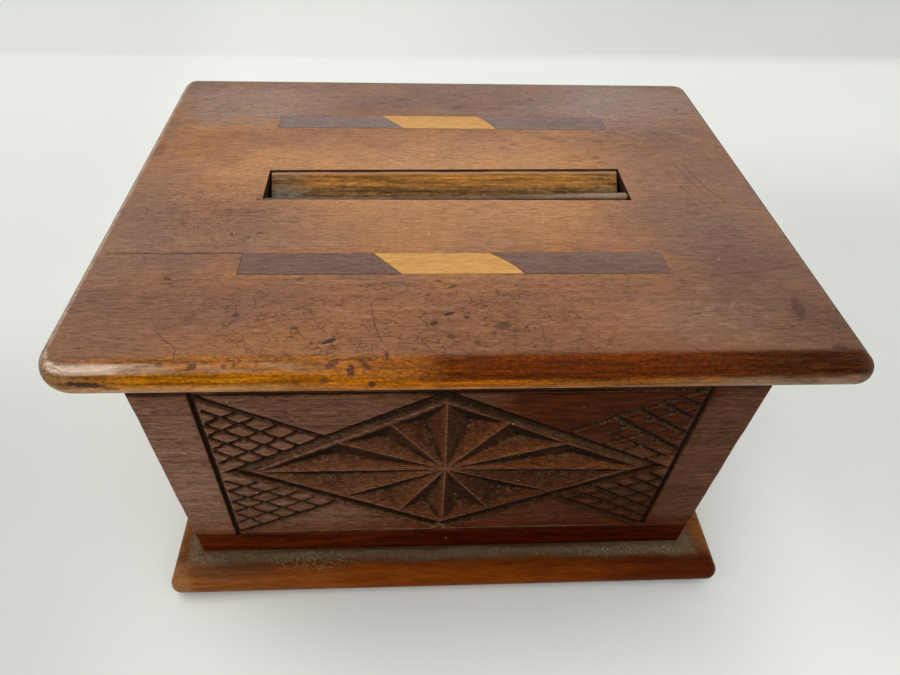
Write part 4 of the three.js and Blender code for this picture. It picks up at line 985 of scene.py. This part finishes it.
def front_finish(c):
    n = c["n"]
    depth, cav, ins = n.attr("depth"), n.attr("cavity"), n.attr("inside")
    # the carving's tones stop short of the board's ends, where the depth is only the eased edge
    out = n.math("SUBTRACT", n.math("ABSOLUTE", n.math("SUBTRACT", n.X, (FB_X0 + FB_X1) / 2)), (FB_X1 - FB_X0) / 2)
    depth = n.math("MULTIPLY", depth, n.ramp(out, -1.1, -1.8))
    cav = n.math("MULTIPLY", cav, n.ramp(out, -1.1, -1.8))
    wn = n.noise(n.scaled(n.P, (0.04, 0.08, 0.08), (3, 1, 5)), 1.0, 3.0, 0.6)
    xr = n.math("MULTIPLY_ADD", n.math("SUBTRACT", wn, 0.5), 30.0, n.X)
    zr = n.math("MULTIPLY_ADD", n.math("SUBTRACT", wn, 0.5), 10.0, n.Z)
    g0 = n.noise(n.scaled(n.P, (0.05, 0.6, 0.6), (2, 2, 6)), 1.0, 4.0, 0.6)
    # fields: painted reflection greying the left, red and dark to the right, painted shadow under the lid, and darker
    # at the foot
    tint = n.mix(n.ramp(xr, -70.0, 45.0), (1.02, 0.98, 0.93), (0.60, 0.48, 0.36))
    tint = n.vmath("MULTIPLY", tint, n.mix(n.math("MULTIPLY", n.ramp(zr, 84.0, 91.0), n.ramp(n.Z, 95.0, 91.5, 0.25, 1.0)), (1.0, 1.0, 1.0), (0.80, 0.66, 0.46)))
    tint = n.vmath("MULTIPLY", tint, n.mix(n.ramp(zr, 30.0, 21.0), (1.0, 1.0, 1.0), (0.86, 0.62, 0.42)))
    tint = n.vmath("MULTIPLY", tint, n.mix(n.ramp(n.math("MULTIPLY_ADD", n.X, 0.002, n.Z), 20.9, 19.7), (1.0, 1.0, 1.0), n.mix(n.ramp(g0, 0.38, 0.62), (0.44, 0.16, 0.045), (0.72, 0.34, 0.10))))
    # painted reflection: paler and greyer at the left end
    tint = n.vmath("MULTIPLY", tint, n.mix(n.ramp(n.X, -63.0, -70.0), (1.0, 1.0, 1.0), (1.22, 1.28, 1.34)))
    tr = n.math("MULTIPLY", n.math("MULTIPLY", n.ramp(xr, 0.0, 18.0), n.ramp(xr, 72.0, 60.0)), n.ramp(zr, 60.0, 74.0))
    tint = n.vmath("MULTIPLY", tint, n.mix(tr, (1.0, 1.0, 1.0), n.mix(n.ramp(g0, 0.38, 0.62), (0.46, 0.22, 0.045), (0.68, 0.36, 0.085))))
    br = n.math("MULTIPLY", n.math("MULTIPLY", n.ramp(xr, -40.0, 0.0), n.ramp(xr, 72.0, 60.0)), n.ramp(zr, 46.0, 34.0))
    tint = n.vmath("MULTIPLY", tint, n.mix(br, (1.0, 1.0, 1.0), (0.80, 0.62, 0.46)))
    # the lands between the hatching are paler at the upper left and darker low down and to the right
    hk = n.mix(n.ramp(n.Z, 58.0, 50.0), n.mix(n.ramp(n.X, -10.0, 10.0), (1.22, 1.18, 1.17), (0.92, 0.80, 0.62)), n.mix(n.ramp(n.X, -10.0, 10.0), (0.80, 0.78, 0.76), (0.58, 0.56, 0.52)))
    tint = n.vmath("MULTIPLY", tint, n.mix(n.ramp(n.attr("hatch"), 0.0, 0.8), (1.0, 1.0, 1.0), hk))
    tint = n.vmath("MULTIPLY", tint, (0.97, 0.98, 0.99))
    tint = n.mix(n.ramp(out, -0.5, -0.05), tint, (0.90, 0.90, 0.90))
    col = n.vmath("MULTIPLY", c["col"], tint)
    g = n.noise(n.scaled(n.P, (0.5, 0.5, 0.5)), 1.0, 4.0, 0.65)
    g2 = n.noise(n.scaled(n.P, (2.2, 2.2, 2.2)), 1.0, 3.0, 0.65)
    g3 = n.noise(n.scaled(n.P, (1.3, 1.3, 1.3), (7, 7, 7)), 1.0, 4.0, 0.7)
    cut_ = n.ramp(depth, 0.14, 0.40)
    # cut wood is matt and browner, with dust and old polish lying in it
    star = n.ramp(ins, 0.3, 1.2)
    cutcol = n.mix(n.ramp(g3, 0.25, 0.75), (0.044, 0.0175, 0.0085), (0.104, 0.044, 0.021))
    cutcol = n.mix(star, cutcol, n.vmath("MULTIPLY", cutcol, (1.12, 0.90, 0.74)))
    # painted light and shade: slopes facing up and slopes facing left are painted lighter, those facing down and right
    # darker
    rise, turn = n.attr("rise"), n.attr("turn")
    slope_light = n.ramp(n.math("MULTIPLY_ADD", turn, -0.55, rise), -0.55, 0.80, 0.30, 1.75)
    cutcol = n.vmath("MULTIPLY", cutcol, n.combine(slope_light, slope_light, slope_light))
    # painted shade: the chips darken towards their deepest point; painted light: their shallow parts are lighter
    cutcol = n.vmath("MULTIPLY", cutcol, n.mix(n.math("MULTIPLY", star, n.ramp(depth, 0.5, 2.5)), (1.0, 1.0, 1.0), (0.70, 0.60, 0.48)))
    cutcol = n.vmath("MULTIPLY", cutcol, n.mix(n.math("MULTIPLY", star, n.ramp(depth, 1.1, 0.4)), (1.0, 1.0, 1.0), (1.18, 1.20, 1.16)))
    cutcol = n.vmath("MULTIPLY", cutcol, n.mix(n.ramp(n.X, -30.0, 25.0), (1.0, 1.0, 1.0), (1.02, 0.86, 0.62)))
    # painted shade on the lower right of the star
    cutcol = n.vmath("MULTIPLY", cutcol, n.mix(n.math("MULTIPLY", n.ramp(n.X, -6.0, 8.0), n.ramp(n.Z, 56.0, 50.0)), (1.0, 1.0, 1.0), (0.50, 0.46, 0.42)))
    col = n.mix(n.math("MULTIPLY", cut_, 0.86), col, cutcol)
    # painted shade: near black in the cavities
    cavity_shade = n.ramp(cav, 0.06, 0.42)
    col = n.mix(n.math("MULTIPLY", cavity_shade, n.ramp(g, 0.28, 0.58, 0.55, 0.97)), col, (0.014, 0.006, 0.0035))
    # painted shade: dark in the hatching and along the deep side of the frame, less on slopes facing up
    groove_shade = n.math("MULTIPLY", n.math("MULTIPLY", n.ramp(depth, 0.16, 0.50), n.ramp(ins, 0.3, 0.0)), n.ramp(rise, -0.35, 0.45, 1.0, 0.62))
    # the frame: painted shadow dark on its outside, then a purplish slope up to the worn ridge
    slope = n.math("MULTIPLY", n.math("MULTIPLY", n.ramp(ins, 1.0, 2.2), n.ramp(ins, 4.3, 3.9)), n.ramp(n.Z, 50.0, 58.0, 0.55, 0.85))
    col = n.mix(slope, col, n.mix(n.ramp(n.X, -20.0, 15.0), n.mix(n.ramp(g3, 0.30, 0.70), (0.050, 0.023, 0.015), (0.110, 0.052, 0.033)), n.mix(n.ramp(g3, 0.30, 0.70), (0.042, 0.018, 0.008), (0.100, 0.048, 0.020))))
    apex = n.math("MULTIPLY", n.ramp(n.math("ABSOLUTE", n.math("ADD", n.X, 1.0)), 30.0, 8.0), n.ramp(n.Z, 62.0, 74.0))
    frame_shade = n.math("MULTIPLY", n.math("MULTIPLY", n.ramp(ins, 0.2, 0.7), n.ramp(n.math("MULTIPLY_ADD", apex, -1.0, ins), 3.0, 1.9)), n.ramp(n.Z, 53.5, 56.0, 0.35, 1.0))
    shadow_dark = n.math("MULTIPLY", n.math("MAXIMUM", n.math("MULTIPLY", groove_shade, 0.84), n.math("MULTIPLY", frame_shade, 0.90)), n.ramp(g2, 0.30, 0.62, 1.0, 0.70))
    col = n.mix(shadow_dark, col, (0.018, 0.0075, 0.004))
    pit = n.math("MULTIPLY", n.math("MULTIPLY", n.ramp(depth, 1.2, 2.5), n.ramp(ins, 4.2, 5.5)), n.ramp(n.math("MULTIPLY_ADD", g2, 0.5, g), 0.70, 0.86))
    col = n.mix(n.math("MULTIPLY", pit, 0.30), col, (0.170, 0.112, 0.058))
    side = n.math("MULTIPLY", n.ramp(n.X, 20.0, -60.0, 0.20, 0.34), n.ramp(n.Z, 87.0, 85.0))
    dust = n.math("MULTIPLY", n.math("MULTIPLY", cut_, n.ramp(g, 0.42, 0.62)), n.ramp(g2, 0.40, 0.60))
    dust = n.math("MULTIPLY", n.math("MULTIPLY", dust, n.ramp(rise, -0.1, 0.45, 0.10, 1.0)), n.math("SUBTRACT", 1.0, n.math("MULTIPLY", shadow_dark, 0.92)))
    col = n.mix(n.math("MULTIPLY", dust, side), col, (0.210, 0.138, 0.072))
    # worn ridges show redder wood
    ridge = n.math("MULTIPLY", n.ramp(n.attr("ridge"), 0.35, 0.95), n.ramp(g, 0.30, 0.55, 0.45, 1.0))
    rcol = n.mix(n.ramp(n.X, -50.0, 40.0), (0.245, 0.110, 0.068), (0.165, 0.068, 0.038))
    col = n.mix(n.math("MULTIPLY", ridge, 0.82), col, rcol)
    # painted shadow where the wood above cuts off the light from above
    painted_shadow = n.math("MULTIPLY", n.math("MULTIPLY", n.attr("shade"), n.ramp(out, -1.1, -1.8)), n.math("SUBTRACT", 1.0, n.math("MULTIPLY", ridge, 0.8)))
    col = n.mix(n.math("MULTIPLY", painted_shadow, 0.93), col, (0.012, 0.005, 0.0025))
    # the shadowed strip under the lid
    col = n.mix(n.math("MULTIPLY", n.ramp(zr, 87.2, 89.0, 0.0, 0.9), n.ramp(n.Z, 93.5, 90.5, 0.20, 1.0)), col, (0.030, 0.011, 0.006))
    ul = n.math("MULTIPLY", n.math("MULTIPLY", n.ramp(n.X, 30.0, 40.0), n.ramp(n.Z, 58.0, 66.0)), n.math("MULTIPLY", cut_, n.ramp(ins, 0.3, 0.0)))
    col = n.mix(n.math("MULTIPLY", n.math("MULTIPLY", ul, n.ramp(g2, 0.44, 0.60)), n.ramp(rise, 0.1, 0.6, 0.05, 0.32)), col, (0.17, 0.118, 0.064))
    # painted highlight: a pale line along the top of the foot strip
    fz = n.math("ABSOLUTE", n.math("SUBTRACT", n.math("MULTIPLY_ADD", n.X, 0.0024, n.Z), 21.4))
    foot_strip_highlight = n.math("MULTIPLY", n.math("MULTIPLY", n.ramp(fz, 0.42, 0.12), n.ramp(g0, 0.36, 0.56, 0.35, 0.85)), n.math("MULTIPLY", n.ramp(n.X, -63.0, -56.0), n.ramp(n.X, 60.0, 50.0)))
    col = n.mix(foot_strip_highlight, col, (0.200, 0.110, 0.056))
    vs = n.voronoi(n.scaled(n.P, (0.16, 0.16, 0.16), (3, 1, 7)), 1.0, "F1")
    flecks = n.math("MULTIPLY", n.ramp(vs, 0.045, 0.028), 0.85)
    c["col"] = col
    c["over"] = [(flecks, (0.50, 0.46, 0.38))]
    c["rough"] = n.math("ADD", c["rough"], n.math("MULTIPLY", cut_, 0.2))
    c["height"] = n.math("ADD", c["height"], n.math("MULTIPLY", n.math("MULTIPLY", cut_, g2), 2.2))


M_FRONT = wood("front_wood", (0.108, 0.050, 0.030), (0.178, 0.085, 0.054), (0.245, 0.122, 0.080), pore=0.85, rough=(0.30, 0.44), bump=0.08, seed=3.0, fibre=1.1,
               spec=0.02, rings=(-20.0, 20.0, 1.7, 0.12), finish=front_finish)
front = front_board()
set_material(front, M_FRONT)
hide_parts("front_board")

# -------------------------------------------------------- plain CAD boards
for node, mat in (("back_board", M_CARCASS), ("left_side_board", M_CARCASS_Y), ("right_side_board", M_CARCASS_Y)):
    cad_material(node, mat)
    soften(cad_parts[node], 0.35, 3)
for s in ("front_left", "front_right", "back_left", "back_right"):
    cad_material(f"glue_block_{s}", M_BLOCK)
    cad_material(f"base_screw_{s}", M_BRASS)
for node in ("chute_left_cheek", "chute_right_cheek"):
    cad_material(node, M_CHEEK)

# ---------------------------------------------------------- floor and light
def stage_material():
    n = Nodes("pale_floor")
    # painted light and shade: darker to the left and at the front left, lighter in front, towards the backdrop and in a
    # spot right of the box, darker to the right and on the backdrop's right
    k = n.math("MULTIPLY", n.ramp(n.math("MULTIPLY_ADD", n.Y, 0.45, n.X), -95.0, -190.0, 0.0, -0.16), n.ramp(n.Y, 100.0, 0.0))
    k = n.math("ADD", k, n.math("MULTIPLY", n.ramp(n.X, -130.0, -220.0, 0.0, -0.06), n.ramp(n.Y, 40.0, 120.0)))
    k = n.math("ADD", k, n.math("MULTIPLY", n.ramp(n.Y, -20.0, -150.0, 0.0, 0.13), n.ramp(n.X, -130.0, -60.0)))
    k = n.math("ADD", k, n.math("MULTIPLY", n.ramp(n.Y, 120.0, 330.0, 0.0, 0.07), n.ramp(n.Y, 372.0, 360.0)))
    k = n.math("ADD", k, n.math("MULTIPLY", n.spot(108.0, -50.0, 26.0, 42.0, 0.0, 0.7), 0.11))
    k = n.math("ADD", k, n.math("MULTIPLY", n.ramp(n.X, 125.0, 190.0, 0.0, -0.10), n.ramp(n.Y, 250.0, 120.0)))
    k = n.math("ADD", k, n.math("MULTIPLY", n.ramp(n.Y, 372.0, 380.0), n.ramp(n.X, -60.0, 220.0, 0.0, -0.09)))
    k = n.math("ADD", k, n.ramp(n.math("MULTIPLY_ADD", n.math("SUBTRACT", n.noise(n.scaled(n.P, (0.012, 0.012, 0.012)), 1.0, 2.0), 0.5), 0.05, 0.815), 0.0, 1.0, 0.0, 1.0, smooth=False))
    n._put(n.bsdf.inputs["Base Color"], n.vmath("MULTIPLY", n.combine(k, k, k), (0.985, 1.0, 0.963)))
    n.bsdf.inputs["Roughness"].default_value = 0.6
    n.bsdf.inputs["Specular IOR Level"].default_value = 0.2
    return n.mat


def make_stage():
    # a floor that turns up into a backdrop well behind the box
    drop = -0.00015
    pts = [(-1.6, drop), (0.36, drop)]
    for i in range(1, 13):
        a = math.pi / 2 * i / 12
        pts.append((0.36 + 0.10 * math.sin(a), drop + 0.10 - 0.10 * math.cos(a)))
    pts.append((0.46, 1.4))
    verts, faces = [], []
    for y, z in pts:
        verts += [(-1600, y * 1000, z * 1000), (1600, y * 1000, z * 1000)]
    for i in range(len(pts) - 1):
        faces.append((2 * i, 2 * i + 1, 2 * i + 3, 2 * i + 2))
    ob = new_object("floor", verts, faces, None)
    set_material(ob, stage_material())
    return ob


make_stage()
world = bpy.data.worlds.new("world")
scene.world = world
world.use_nodes = True
wt = world.node_tree
bg = wt.nodes["Background"]
W_AMBIENT, W_UP, W_BACK, W_LEFT = 0.36, 0.76, 0.52, 0.16


def make_world():
    geo = wt.nodes.new("ShaderNodeTexCoord")
    sep = wt.nodes.new("ShaderNodeSeparateXYZ")
    wt.links.new(geo.outputs["Generated"], sep.inputs[0])

    def ramp(sock, a, b, c0, c1):
        m = wt.nodes.new("ShaderNodeMapRange")
        m.interpolation_type = "SMOOTHSTEP"
        wt.links.new(sock, m.inputs[0])
        for k, v in zip(range(1, 5), (a, b, c0, c1)):
            m.inputs[k].default_value = v
        return m.outputs[0]

    def op(o, a, b):
        m = wt.nodes.new("ShaderNodeMath")
        m.operation = o
        for k, v in enumerate((a, b)):
            if isinstance(v, float):
                m.inputs[k].default_value = v
            else:
                wt.links.new(v, m.inputs[k])
        return m.outputs[0]

    x, y, z = sep.outputs
    up = ramp(z, 0.10, 0.75, 0.0, 1.0)
    side = op("ADD", ramp(y, -0.3, 0.6, 0.0, W_BACK), ramp(x, 0.1, -0.8, 0.0, W_LEFT))
    low = op("MULTIPLY", side, op("SUBTRACT", 1.0, up))
    total = op("ADD", op("ADD", op("MULTIPLY", up, W_UP), low), W_AMBIENT)
    wt.links.new(total, bg.inputs[1])


make_world()
bg.inputs[0].default_value = (0.95, 0.97, 0.95, 1)


def area(name, loc, target, size, energy, color=(1, 1, 1)):
    d = bpy.data.lights.new(name, "AREA")
    d.shape, d.size, d.energy, d.color = "SQUARE", size, energy, color
    ob = bpy.data.objects.new(name, d)
    ob.location = loc
    ob.rotation_mode = "QUATERNION"
    ob.rotation_quaternion = (Vector(target) - Vector(loc)).to_track_quat("-Z", "Y")
    scene.collection.objects.link(ob)
    return ob


area("top_light", (-0.35, 0.30, 1.15), (0, 0.02, 0), 0.7, 4.5, (1.0, 0.985, 0.95))
scene.view_settings.view_transform = "Standard"
scene.view_settings.look = "None"
